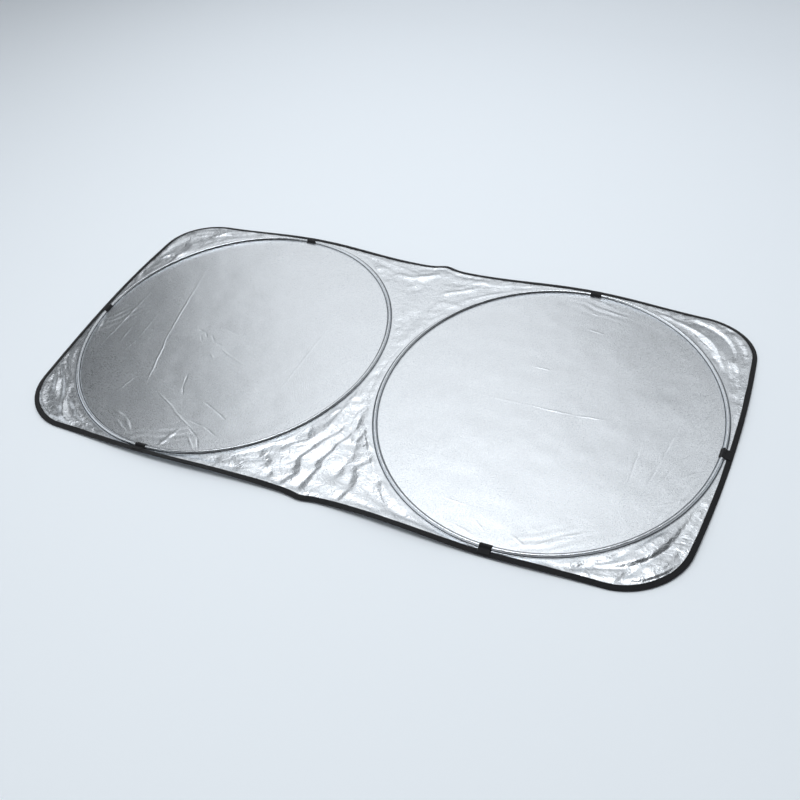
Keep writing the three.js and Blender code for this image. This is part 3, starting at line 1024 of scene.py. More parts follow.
@dataclass(frozen=True)
class RolledSteel(Finish):
    """Steel that was rolled or drawn, with fine lines along it from the rolls.

    Attributes:
        line: Distance between the lines.
        line_depth: Depth of the lines in the bump.
        polish_spread: How far the roughness varies to each side.
    """

    line: float = 0.5 * MM
    line_depth: float = 0.03 * MM
    polish_spread: float = 0.12

    def build(self) -> bpy.types.Material:
        """Makes the material with its lines and uneven polish.

        Returns:
            The material.
        """
        material, tree, shader = self.start()
        where = add_node(tree, "TexCoord").outputs["Object"]
        stretch = add_node(tree, "Mapping", Vector=where, Scale=(0.1, 0.1, 1.0))
        lines = add_node(
            tree, "TexNoise", Vector=stretch.outputs["Vector"], Scale=1 / self.line, Detail=2.0
        )
        rough = add_node(
            tree, "MapRange", Value=lines.outputs["Fac"],
            To_Min=self.roughness - self.polish_spread, To_Max=self.roughness + self.polish_spread,
        )
        tree.links.new(rough.outputs["Result"], shader.inputs["Roughness"])
        bump = add_node(
            tree, "Bump", Height=lines.outputs["Fac"], Distance=self.line_depth, Strength=0.5
        )
        tree.links.new(bump.outputs["Normal"], shader.inputs["Normal"])
        return material


@dataclass(frozen=True)
class SeamlessPaper(Finish):
    """Pale uncoated studio paper, which diffuses light, with a painted falloff of light: painted light at
    the front and painted shade that darkens it a little toward the back.

    Attributes:
        painted_far_shade: Colour of the painted shade at the back, as sRGB hex.
        near_place: Place along Y at which the painted shade begins to darken it.
        far_place: Place along Y at which the painted shade is as dark as it gets.
    """

    name: str = "seamless_paper"
    # Colour at the front: the paper's pale blue-white with painted light on it.
    colour: str = "#F0F8FF"
    roughness: float = 0.9
    painted_far_shade: str = "#D8E0E8"
    near_place: float = -1.0
    far_place: float = 1.8

    def build(self) -> bpy.types.Material:
        """Makes the material with its painted change of tone, from painted light in front to painted shade
        at the back.

        Returns:
            The material.
        """
        material, tree, shader = self.start()
        where = add_node(tree, "TexCoord").outputs["Object"]
        place = add_node(tree, "SeparateXYZ", Vector=where).outputs["Y"]
        # Share of the painted shade, 0 at the front and 1 at the back.
        far = add_node(tree, "MapRange", Value=place, From_Min=self.near_place, From_Max=self.far_place)
        # Mixes from painted light at the front to painted shade at the back.
        tone = add_node(
            tree, "MixRGB", Fac=far.outputs["Result"], Color1=linear(self.colour),
            Color2=linear(self.painted_far_shade),
        )
        tree.links.new(tone.outputs["Color"], shader.inputs["Base Color"])
        return material


# The sewn pieces


@dataclass(frozen=True)
class Ripple:
    """A patch of short ripples where a tab pulls at the cloth.

    Attributes:
        middle: Plan place of its middle, in millimetres.
        heading: Direction that the ripples run in, in degrees from +X.
        spacing: Distance between ripples in millimetres.
        reach: Half length and half width of the patch in millimetres.
        height: Height of the ripples in millimetres.
        bend: How far the ripples bend from straight, in radians of their wave.
    """

    middle: tuple[float, float]
    heading: float
    spacing: float
    reach: tuple[float, float]
    height: float
    bend: float = 1.8

    def relief(self, x: np.ndarray, y: np.ndarray) -> np.ndarray:
        """Height that the ripples add at plan places, in metres.

        Args:
            x: Places along X.
            y: Places along Y.

        Returns:
            The height at each place.
        """
        turn = math.radians(self.heading)
        dx, dy = x - self.middle[0] * MM, y - self.middle[1] * MM
        along = dx * math.cos(turn) + dy * math.sin(turn)
        across = -dx * math.sin(turn) + dy * math.cos(turn)
        patch = np.exp(-((along / (self.reach[0] * MM)) ** 2) - (across / (self.reach[1] * MM)) ** 2)
        bend = self.bend * smooth_noise(along / (40 * MM) + 7, across / (30 * MM) + 3, seed=5)
        return self.height * MM * patch * np.sin(2 * np.pi * across / (self.spacing * MM) + bend)


@dataclass(frozen=True)
class Fold:
    """A fold of the slack cloth, as a soft-sided ridge with a crisp crest.

    Attributes:
        line: Plan places that it runs through, in millimetres.
        height: Height of the fold in millimetres, negative where it dips.
        half_width: Half width of the fold in millimetres.
        crest: Power of the section, where 1 has straight sides and more has a crisper crest.
        end_share: Share of the height that is left at the ends.
    """

    line: tuple[tuple[float, float], ...]
    height: float
    half_width: float
    crest: float = 1.4
    end_share: float = 0.15

    def relief(self, x: np.ndarray, y: np.ndarray) -> np.ndarray:
        """Height that the fold adds at plan places, in metres.

        Args:
            x: Places along X.
            y: Places along Y.

        Returns:
            The height at each place.
        """
        points = np.array(self.line) * MM
        nearest = np.full(x.shape, np.inf)
        share = np.zeros(x.shape)
        stretches = len(points) - 1
        for number, (start, end) in enumerate(zip(points, points[1:])):
            along = end - start
            part = ((x - start[0]) * along[0] + (y - start[1]) * along[1]) / (along @ along)
            part = np.clip(part, 0, 1)
            away = np.hypot(x - start[0] - part * along[0], y - start[1] - part * along[1])
            share = np.where(away < nearest, (number + part) / stretches, share)
            nearest = np.minimum(away, nearest)
        ends = fade(np.minimum(share, 1 - share) * 4)
        side = np.clip(1 - nearest / (self.half_width * MM), 0, 1)
        height = self.height * MM * (self.end_share + (1 - self.end_share) * ends)
        return height * side**self.crest


@dataclass(frozen=True)
class Patch:
    """A round patch of the cloth, fading out.

    Attributes:
        middle: Plan place of its middle, in millimetres.
        reach: Half length and half width of the patch in millimetres.
        strength: How strongly it works in its middle.
    """

    middle: tuple[float, float]
    reach: tuple[float, float]
    strength: float

    def share(self, x: np.ndarray, y: np.ndarray) -> np.ndarray:
        """Strength at plan places."""
        dx, dy = x / MM - self.middle[0], y / MM - self.middle[1]
        return self.strength * np.exp(-((dx / self.reach[0]) ** 2) - (dy / self.reach[1]) ** 2)


PLACED_FOLDS = (
    Fold(((18, -70), (15, -131), (24, -187), (42, -226), (49, -262), (34, -319), (27, -350)), -4.2, 24),
    Fold(((40, -186), (71, -231), (102, -275), (127, -303), (173, -361)), -1.6, 12),
    Fold(((-118, 318), (-70, 310), (-30, 324), (4, 350)), 3.2, 13),
    Fold(((26, 272), (64, 294), (104, 320)), 3.0, 11),
    Fold(((-655, 312), (-628, 333), (-600, 353)), 3.2, 12),
    Fold(((-645, 254), (-615, 280), (-585, 304)), 3.0, 12),
    Fold(((-726, 194), (-708, 217), (-690, 216), (-668, 244)), 3.0, 11),
    Fold(((604, 326), (667, 274), (728, 212)), 3.2, 26),
    Fold(((640, 262), (683, 216), (722, 176)), -1.0, 12),
    Fold(((614, -297), (583, -330), (552, -350), (525, -372)), -3.4, 12),
    Fold(((657, -302), (636, -327), (617, -352), (606, -373)), -3.4, 12),
    Fold(((676, -210), (644, -266), (628, -300), (590, -345)), 1.6, 12),
    Fold(((668, -228), (652, -270), (650, -310), (634, -350)), 4.0, 45),
    Fold(((-703, -236), (-680, -268), (-658, -302)), 3.0, 10),
    Fold(((-644, -284), (-620, -320), (-596, -352), (-560, -375)), 4.4, 12),
    Fold(((-606, -312), (-560, -342), (-505, -368)), 1.8, 7),
    Fold(((-590, -318), (-540, -350), (-490, -372)), -1.4, 6),
    Fold(((-716, -200), (-690, -235), (-650, -275)), 3.0, 9),
)


@dataclass(frozen=True)
class ClothPanel:
    """The silvered cloth, one piece, taut in the hoops and slack outside them.

    Attributes:
        pitch: Size of the mesh's squares.
        hoop_sag: How far the cloth sags in the middle of a hoop.
        band_half: Half width of the band under a sleeve, where the cloth is held flat.
        full_width: Width of a slack strip in which the folds reach their whole height.
        least_room: Share of that height that is left where a strip closes up.
        middle_blend: Half width of the strip in the middle where the two halves' folds blend.
        broad_height: Height of the broad slack folds.
        broad_length: Length over which they wander.
        streak_height: Height of the sharper folds that run along a slack strip.
        streak_length: Length of those.
        fine_height: Height of the finest of those.
        fine_length: Length of the finest.
        streaks_across: Number of sharper folds across a slack strip.
        crumple_height: Height of the fine crumples.
        crumple_patch: Size of the patches that they come and go in.
        gather_height: Height of the small gathers along the tape.
        gather_spacing: Distance between those gathers.
        gather_reach: How far they reach from the tape.
        least_height: Height over the floor that no fold dips below.
        ripples: Ripples by the tabs.
        folds: Folds of the slack cloth that stand out.
        calm: Patches where the slack cloth lies smoother.
        pleated: Where the cloth falls into pleats.
        pleat_start: Plan place that the pleats fan out from.
        pleat_turn: Angle from one pleat to the next, in radians.
        pleat_height: Height of the pleats.
        pleat_lean: Share of each pleat that rises.
        pleat_wander: How far the pleats wander, in pleats.
        pleated_folds: Share of the other folds that is lost where the cloth is pleated.
        seam_fade: Distance from a sleeve over which the folds rise.
        tape_fade: Distance from the tape over which they rise.
        sag_fade: Distance in from a sleeve over which the cloth starts to sag.
        mark_fade: Distance in from a sleeve over which the ripples rise.
        level_fade: Distance from a sleeve over which the cloth leaves its plain level.
        tape_hold: Distance out of the tape over which the tape still sets its level.
        slack_fade: Distance from a sleeve over which the crinkles deepen.
        soft_height: Height of the broad soft unevenness in the hoops.
        uneven_height: Height of the finer unevenness.
        crackle_height: Height of the finest.
    """

    pitch: float = 3.5 * MM
    hoop_sag: float = 0.8 * MM
    band_half: float = 6.4 * MM
    full_width: float = 110 * MM
    least_room: float = 0.08
    middle_blend: float = 24 * MM
    broad_height: float = 2.0 * MM
    broad_length: float = 90 * MM
    streak_height: float = 2.0 * MM
    streak_length: float = 110 * MM
    fine_height: float = 0.9 * MM
    fine_length: float = 45 * MM
    streaks_across: float = 6.5
    crumple_height: float = 1.4 * MM
    crumple_patch: float = 45 * MM
    gather_height: float = 0.9 * MM
    gather_spacing: float = 24 * MM
    gather_reach: float = 16 * MM
    least_height: float = 0.6 * MM
    ripples: tuple[Ripple, ...] = (
        Ripple((-680, -40), 62, 15, (60, 26), 0.4),
        Ripple((-350, -335), 25, 18, (70, 28), 0.45),
        Ripple((690, -165), 70, 17, (70, 30), 0.62),
        Ripple((470, -335), 35, 19, (70, 28), 0.5),
        Ripple((395, 330), -12, 17, (60, 22), 0.4),
        Ripple((-375, 330), 10, 18, (55, 20), 0.2),
    )
    folds: tuple[Fold, ...] = PLACED_FOLDS
    calm: tuple[Patch, ...] = (
        Patch((0, 290), (190, 130), 0.92),
        Patch((-660, 290), (90, 90), 0.5),
        Patch((0, 60), (60, 120), 0.4),
    )
    pleated: Patch = Patch((0, -300), (150, 110), 1.0)
    pleat_start: tuple[float, float] = (0.02, -0.04)
    pleat_turn: float = 0.2
    pleat_height: float = 2.4 * MM
    pleat_lean: float = 0.3
    pleat_wander: float = 0.8
    pleated_folds: float = 0.7
    seam_fade: float = 12 * MM
    tape_fade: float = 9 * MM
    sag_fade: float = 40 * MM
    mark_fade: float = 8 * MM
    level_fade: float = 8 * MM
    tape_hold: float = 2 * MM
    slack_fade: float = 14 * MM
    soft_height: float = 0.5 * MM
    uneven_height: float = 0.22 * MM
    crackle_height: float = 0.04 * MM

    def flat_points(self) -> np.ndarray:
        """Plan points of the cloth as a grid that fills the outline.

        Returns:
            The points, by column and row.
        """
        inset = LEVELS.cloth_edge
        half_x, half_y = PLAN.length / 2 - inset, PLAN.width / 2 - inset
        radius = PLAN.corner_radius - inset
        columns = round(2 * half_x / self.pitch) + 1
        rows = round(2 * half_y / self.pitch) + 1
        x, y = np.linspace(-half_x, half_x, columns), np.linspace(-half_y, half_y, rows)
        x, y = np.meshgrid(x, y, indexing="ij")
        p = np.maximum((np.abs(x) - (half_x - radius)) / radius, 0)
        q = np.maximum((np.abs(y) - (half_y - radius)) / radius, 0)
        round_x = half_x - radius + radius * p * np.sqrt(1 - q * q / 2)
        round_y = half_y - radius + radius * q * np.sqrt(1 - p * p / 2)
        x = np.where(p > 0, np.sign(x) * round_x, x)
        y = np.where(q > 0, np.sign(y) * round_y, y)
        return PLAN.shaped(np.stack([x, y], axis=-1))

    def slack_folds(self, x: np.ndarray, y: np.ndarray, edge: np.ndarray) -> np.ndarray:
        """Folds outside the hoops, which run along each slack strip and close up where it narrows.

        Args:
            x: Places along X.
            y: Places along Y.
            edge: Distance in from the outline at each place.

        Returns:
            Height in metres, before it is faded at the seams.
        """
        least = 1 * MM
        tape = np.maximum(edge - LEVELS.cloth_bend, least)
        toward_right = fade((x / self.middle_blend + 1) / 2)
        height = np.zeros_like(x)
        for side, weight in ((Side.LEFT, 1 - toward_right), (Side.RIGHT, toward_right)):
            other = Side.RIGHT if side is Side.LEFT else Side.LEFT
            away, along = PLAN.from_hoop(x, y, side)
            away = np.maximum(away - self.band_half, least)
            beyond = np.maximum(PLAN.from_hoop(x, y, other)[0] - self.band_half, least)
            limit = 1 / (1 / beyond + 1 / tape)
            share = away / (away + limit)
            room = np.clip((away + limit) / self.full_width, self.least_room, 1)
            seed = 20 + side.value
            across = share * self.streaks_across
            wander = facets(along / self.broad_length, share * 3, seed)
            broad = np.sin(2 * np.pi * 1.4 * share + 2.6 * wander)
            streak = ridges(along / self.streak_length + 5, across + 1.2 * wander, seed + 2)
            fine = facets(along / self.fine_length + 9, 1.6 * across + wander, seed + 4)
            height += weight * room * (
                self.broad_height * broad + self.streak_height * streak + self.fine_height * fine
            )
        height *= np.prod([1 - patch.share(x, y) for patch in self.calm], axis=0)
        height *= 1 - self.pleated_folds * self.pleated.share(x, y)
        patch = fade(0.5 + smooth_noise(x / self.crumple_patch, y / self.crumple_patch, 31))
        crumple = facets(x / (26 * MM), y / (22 * MM), 33)
        crumple = crumple + 0.5 * facets(x / (13 * MM), y / (12 * MM), 35)
        return height + self.crumple_height * patch * crumple

    def pleats(self, x: np.ndarray, y: np.ndarray) -> np.ndarray:
        """Pleats that fan out from the waist toward the lower edge, in metres.

        Args:
            x: Places along X.
            y: Places along Y.

        Returns:
            Height of the pleats at each place.
        """
        wander = facets(x / (70 * MM) + 3, y / (60 * MM) + 8, 37)
        wander = wander + 0.3 * facets(x / (28 * MM), y / (24 * MM), 39)
        turn = np.arctan2(x - self.pleat_start[0], self.pleat_start[1] - y)
        phase = turn / self.pleat_turn + self.pleat_wander * wander
        return self.pleat_height * self.pleated.share(x, y) * sawtooth(phase, self.pleat_lean)

    def gathers(self, x: np.ndarray, y: np.ndarray, edge: np.ndarray) -> np.ndarray:
        """Small gathers that the tape's seam draws up, in metres.

        Args:
            x: Places along X.
            y: Places along Y.
            edge: Distance in from the outline at each place.

        Returns:
            Height of the gathers at each place.
        """
        turned = fade(x * y / (4 * MM) + 0.5)
        along = x + y * (1 - 2 * turned)
        past = np.maximum(edge - LEVELS.cloth_bend, 0) / self.gather_reach
        uneven = 0.3 * smooth_noise(x / (9 * MM), y / (9 * MM), 53)
        wave = ridges(along / self.gather_spacing + uneven, 0 * x, 51)
        return self.gather_height * np.exp(-(past**2)) * fade(past * 5) * wave

    def slackness(self, x: np.ndarray, y: np.ndarray) -> np.ndarray:
        """How slack the cloth is at plan places, from 0 in the hoops to 1 outside them."""
        left, right = (PLAN.from_hoop(x, y, side)[0] for side in Side)
        return fade((np.minimum(left, right) - self.band_half) / self.slack_fade)

    def heights(self, x: np.ndarray, y: np.ndarray) -> np.ndarray:
        """Height of the cloth at plan places, in metres.

        Args:
            x: Places along X.
            y: Places along Y.

        Returns:
            The height at each place.
        """
        edge = PLAN.from_edge(x, y)
        left, right = (PLAN.from_hoop(x, y, side)[0] for side in Side)
        away = np.minimum(left, right)
        out = fade((away - self.band_half) / self.seam_fade)
        off_tape = fade((edge - LEVELS.cloth_bend) / self.tape_fade)
        inside = fade((-away - self.band_half) / self.sag_fade)
        share = 1 + away / PLAN.hoop_half_width
        sag = -self.hoop_sag * inside * (1 - share**2)
        soft = self.soft_height * smooth_noise(x / (85 * MM), y / (60 * MM), 41)
        soft += self.uneven_height * smooth_noise(x / (30 * MM), y / (26 * MM), 43)
        soft += self.crackle_height * ridges(x / (14 * MM), y / (14 * MM), 45)
        marks = sum(ripple.relief(x, y) for ripple in self.ripples)
        held = fade((-away - self.band_half) / self.mark_fade)
        placed_folds = sum(fold.relief(x, y) for fold in self.folds)
        folds = self.slack_folds(x, y, edge) + self.pleats(x, y) + placed_folds
        by_sleeve = fade((away - self.band_half) / self.level_fade)
        in_tape = fade(1 - (edge - LEVELS.cloth_bend) / self.tape_hold)
        lift = LEVELS.cloth_at(x, y, edge) - LEVELS.cloth
        height = LEVELS.cloth + lift * np.maximum(by_sleeve, in_tape)
        height += sag + inside * soft + held * marks
        height += out * (off_tape * folds + self.gathers(x, y, edge))
        return np.maximum(height, self.least_height)

    def build(self, material: bpy.types.Material) -> bpy.types.Object:
        """Makes the cloth.

        Args:
            material: Its finish.

        Returns:
            The piece.
        """
        plan = self.flat_points()
        columns, rows = plan.shape[:2]
        x, y = plan[..., 0], plan[..., 1]
        points = np.stack([x, y, self.heights(x, y)], axis=-1)
        faces, _ = grid_faces(columns, rows, wrap=False)
        flat = plan.reshape(-1, 2)[faces]
        piece = mesh_piece("cloth_panel", points.reshape(-1, 3), faces, flat)
        slack = piece.data.attributes.new("slack", "FLOAT", "POINT")
        slack.data.foreach_set("value", self.slackness(x, y).astype(np.float32).ravel())
        piece.data.materials.append(material)
        return piece


@dataclass(frozen=True)
class EdgeTape:
    """The black tape, folded over the edge of the cloth and sewn down.

    Attributes:
        pitch: Distance between stations along the outline.
        thickness: Thickness of the tape.
        fold_half: Half height of the fold, over the tape.
        hem_half: Half height at the sewn ends of the legs.
        leg_start: Distance from the middle of the fold at which a leg starts.
        waver: How far the sewn edge wavers.
    """

    pitch: float = 5 * MM
    thickness: float = 0.7 * MM
    fold_half: float = 1.4 * MM
    hem_half: float = 1.0 * MM
    leg_start: float = 1.5 * MM
    waver: float = 0.35 * MM

    def line(self) -> tuple[np.ndarray, np.ndarray]:
        """The tape's outer face from the lower leg's end round the fold, along and across.

        Returns:
            Distance in from the outline, and distance from the middle of the tape, at each point.
        """
        leg = np.linspace(LEVELS.tape_leg, self.leg_start, 6)
        half = np.interp(leg, [0, LEVELS.tape_leg], [self.fold_half, self.hem_half])
        turn = np.linspace(-np.pi / 2, -3 * np.pi / 2, 9)
        along = np.concatenate([leg, self.fold_half * np.cos(turn), leg[::-1]])
        across = np.concatenate([-half, self.fold_half * np.sin(turn), half[::-1]])
        return along, across

    def build(self, material: bpy.types.Material) -> bpy.types.Object:
        """Makes the tape.

        Args:
            material: Its finish.

        Returns:
            The piece.
        """
        points, out = PLAN.outline(self.pitch)
        lengths = path_lengths(points)
        along, across = self.line()
        waver = self.waver * smooth_noise(lengths / (34 * MM), 0 * lengths, 61)
        reach = along[None, :] + np.outer(waver, along / LEVELS.tape_leg)
        lift = LEVELS.lift_at(points[:, 0], points[:, 1])[:, None]
        section = LEVELS.on_tape(reach, across[None, :] + 0 * reach, lift)
        section[..., 0] *= -1
        inner = offset_line(section, np.full(section.shape[:2], self.thickness))
        piece = slab_piece(
            "edge_tape", placed(points, out, section), placed(points, out, inner), lengths, wrap=True
        )
        piece.data.materials.append(material)
        return piece


@dataclass(frozen=True)
class HoopSleeve:
    """The sleeve of silver cloth sewn over a hoop, with a flange on each side of its arch.

    Attributes:
        side: The half that the hoop is in.
        steps: Number of stations along the hoop.
        thickness: Thickness of the sleeve's cloth.
        half_width: Half width over the flanges.
        arch_reach: How far the arch reaches to each side of the wire.
        crest: Half width of the arch's flat crest.
        arch_height: Height of the arch over the flanges.
        pucker: Height of the puckers that the stitches draw up.
    """

    side: Side
    steps: int = 600
    thickness: float = 0.4 * MM
    half_width: float = 6.1 * MM
    arch_reach: float = 4.1 * MM
    crest: float = 1.0 * MM
    arch_height: float = 4.2 * MM
    pucker: float = 0.22 * MM

    def inner_face(self, across: np.ndarray) -> np.ndarray:
        """Height of the sleeve's inner face at places across it."""
        fall = np.clip((np.abs(across) - self.crest) / (self.arch_reach - self.crest), 0, 1)
        return LEVELS.seam + self.arch_height * (1 - fall)

    def build(self, material: bpy.types.Material) -> bpy.types.Object:
        """Makes the sleeve.

        Args:
            material: Its finish.

        Returns:
            The piece.
        """
        points, out = PLAN.hoop(self.side, self.steps)
        lengths = path_lengths(points)
        across = np.linspace(-self.half_width, self.half_width, 25)
        inner = np.stack([across, self.inner_face(across)], axis=-1)
        ripple = smooth_noise(lengths[:, None] / (9 * MM), across[None, :] / (5 * MM), 70 + self.side.value)
        section = np.repeat(inner[None], self.steps, axis=0)
        section[..., 1] += self.pucker * (ripple + 1) * (1 - np.abs(across / self.half_width) ** 4)
        outer = offset_line(section, np.full(section.shape[:2], self.thickness))
        piece = slab_piece(
            f"sleeve_{self.side.word}", placed(points, out, outer)[:, ::-1],
            placed(points, out, section)[:, ::-1], lengths, wrap=True,
        )
        piece.data.materials.append(material)
        return piece


@dataclass(frozen=True)
class TapeTab:
    """A tape tab that laps from the edge tape over the sleeve.

    Attributes:
        side: The half that it is in.
        place: Where round the hoop it sits.
        width: Width of the tape.
        thickness: Thickness of the tape.
        lap: How far it laps on the edge tape.
        lap_start: How far in from the edge tape's sewn end it comes down on it.
        clearance: Gap left between it and what it lies on.
        pucker: Height of the puckers that the stitches draw up.
    """

    side: Side
    place: Place
    width: float = 24 * MM
    thickness: float = 0.7 * MM
    lap: float = 8 * MM
    lap_start: float = 0.4 * MM
    clearance: float = 0.25 * MM
    pucker: float = 0.12 * MM

    def angle(self) -> float:
        """Parameter angle of the tab's middle on its hoop.

        Returns:
            The angle in radians.
        """
        step = math.pi / PLAN.hoop_steps
        side = -step if self.side is Side.RIGHT else math.pi + step
        return {Place.UPPER: math.pi / 2, Place.LOWER: -math.pi / 2, Place.SIDE: side}[self.place]

    def chord(self) -> tuple[np.ndarray, np.ndarray]:
        """Plan place of the tab's middle and the direction out from the hoop.

        Returns:
            The place, and the unit direction.
        """
        half = math.pi / PLAN.hoop_steps
        angles = np.array([self.angle() - half, self.angle() + half])
        ends = np.column_stack([
            self.side.value * PLAN.hoop_spacing / 2 + PLAN.hoop_half_length * np.cos(angles),
            PLAN.hoop_half_width * np.sin(angles),
        ])
        along = ends[1] - ends[0]
        out = np.array([along[1], -along[0]]) / np.linalg.norm(along)
        return ends.mean(axis=0), out

    def line(self, reach: float, lift: float) -> np.ndarray:
        """The tab's lower face across the sleeve and onto the tape.

        Args:
            reach: Distance from the hoop's line to the outline.
            lift: How far the edge tape's fold stands off the floor there.

        Returns:
            Points of (outward, height).
        """
        sleeve = HoopSleeve(self.side)
        over = np.linspace(-sleeve.half_width, sleeve.half_width, 17)
        crown = sleeve.inner_face(over) + sleeve.thickness + sleeve.pucker * 2 + self.clearance
        legs = np.linspace(LEVELS.tape_leg - self.lap_start, LEVELS.tape_leg - self.lap, 6)
        tape = EdgeTape()
        half = np.interp(legs, [0, LEVELS.tape_leg], [tape.fold_half, tape.hem_half])
        on_tape = LEVELS.on_tape(legs, half + self.clearance, lift)
        return np.column_stack([
            np.concatenate([over, reach - on_tape[:, 0]]),
            np.concatenate([crown, on_tape[:, 1]]),
        ])

    def build(self, material: bpy.types.Material) -> bpy.types.Object:
        """Makes the tab.

        Args:
            material: Its finish.

        Returns:
            The piece.
        """
        middle, out = self.chord()
        if self.place is Place.SIDE:
            reach = PLAN.side_reach(middle[1]) - abs(middle[0])
        else:
            reach = PLAN.long_edge_reach(middle[0], middle[1]) - abs(middle[1])
        lift = float(LEVELS.lift_at(*(middle + out * reach)))
        line = self.line(float(reach), lift)
        along = np.linspace(-self.width / 2, self.width / 2, 17)
        direction = np.array([-out[1], out[0]])
        points = middle + along[:, None] * direction
        outs = np.repeat(out[None], len(along), axis=0)
        section = np.repeat(line[None], len(along), axis=0)
        ripple = smooth_noise(along[:, None] / (6 * MM), line[None, :, 0] / (6 * MM), 81)
        section[..., 1] += self.pucker * ripple
        upper = offset_line(section, np.full(section.shape[:2], self.thickness))
        piece = slab_piece(
            f"tab_{self.place.value}_{self.side.word}_tape", placed(points, outs, upper)[:, ::-1],
            placed(points, outs, section)[:, ::-1], along - along[0], wrap=False,
        )
        piece.data.materials.append(material)
        return piece


@dataclass(frozen=True)
class StitchRow:
    """A row of lockstitch along a closed line.

    Attributes:
        name: Name of the piece.
        length: Length of a stitch.
        gap: Gap to the next one.
        radius: Radius of the thread. The real one is 0.12 mm, and it is drawn thicker so that it shows.
        rise: Height of the thread's middle over the cloth, in radii.
        sections: Sections of a stitch, as place along it in lengths and size in radii.
        sides: Number of sides of a section.
    """

    name: str
    length: float = 2.6 * MM
    gap: float = 0.9 * MM
    radius: float = 0.2 * MM
    rise: float = 0.4
    sections: tuple[tuple[float, float], ...] = ((-0.5, 0.25), (-0.25, 0.95), (0.25, 0.95), (0.5, 0.25))
    sides: int = 5

    def build(self, points: np.ndarray, up: np.ndarray, material: bpy.types.Material) -> bpy.types.Object:
        """Makes the stitches.

        Args:
            points: Points of the row on the sewn surface, as (count, 3), closed.
            up: Direction out of the surface at each.
            material: Finish of the thread.

        Returns:
            The piece.
        """
        loop = np.concatenate([points, points[:1]])
        lengths = np.concatenate([[0], np.cumsum(np.linalg.norm(np.diff(loop, axis=0), axis=1))])
        count = int(lengths[-1] / (self.length + self.gap))
        middles = (np.arange(count) + 0.5) * lengths[-1] / count
        centre = interpolated(middles, lengths, loop)
        along = interpolated(np.minimum(middles + self.length / 2, lengths[-1]), lengths, loop) - centre
        along /= np.linalg.norm(along, axis=1, keepdims=True)
        upward = interpolated(middles, lengths, np.concatenate([up, up[:1]]))
        sideways = np.cross(along, upward)
        turns = np.linspace(0, 2 * np.pi, self.sides, endpoint=False) + np.pi / 2
        vertices = np.stack([
            centre + along * (self.length * share)
            + self.radius * swell * (np.cos(t) * sideways + (np.sin(t) + self.rise) * upward)
            for share, swell in self.sections for t in turns
        ], axis=1)
        ring, step = len(self.sections), self.sides
        quads = [
            (r * step + s, r * step + (s + 1) % step, (r + 1) * step + (s + 1) % step, (r + 1) * step + s)
            for r in range(ring - 1) for s in range(step)
        ]
        faces = np.arange(count)[:, None, None] * (ring * step) + np.array(quads)[None]
        piece = mesh_piece(self.name, vertices.reshape(-1, 3), faces.reshape(-1, 4))
        piece.data.materials.append(material)
        return piece


@dataclass(frozen=True)
class Softbox:
    """A rectangular soft light.

    Attributes:
        place: Middle of its face.
        aim: Point that it faces.
        size: Its width and height.
        level: Radiance of its face, where 1 is the white of paper.
    """

    place: tuple[float, float, float]
    aim: tuple[float, float, float]
    size: tuple[float, float]
    level: float


@dataclass(frozen=True)
class Glow:
    """Light from one part of the room, which goes by how near a direction is to its own.

    Attributes:
        direction: Direction of the part's middle.
        start: Dot product with that direction at which the light starts to change.
        end: Dot product at which it has changed.
        outside: Radiance up to the start, where no other light gives it.
        inside: Radiance from the end on.
    """

    direction: tuple[float, float, float]
    start: float
    end: float
    outside: float
    inside: float

    def add(
        self, tree: bpy.types.NodeTree, way: bpy.types.NodeSocket,
        outside: bpy.types.NodeSocket | None = None,
    ) -> bpy.types.NodeSocket:
        """Adds the nodes of the light.

        Args:
            tree: The world's tree.
            way: Direction that the room is seen in.
            outside: Radiance up to the start, where another light gives it.

        Returns:
            The socket that gives the radiance.
        """
        near = add_node(
            tree, "VectorMath", {"operation": "DOT_PRODUCT"}, in0=way, in1=self.direction
        )
        return add_node(
            tree, "MapRange", Value=near.outputs["Value"], From_Min=self.start, From_Max=self.end,
            To_Min=self.outside if outside is None else outside, To_Max=self.inside,
        ).outputs["Result"]


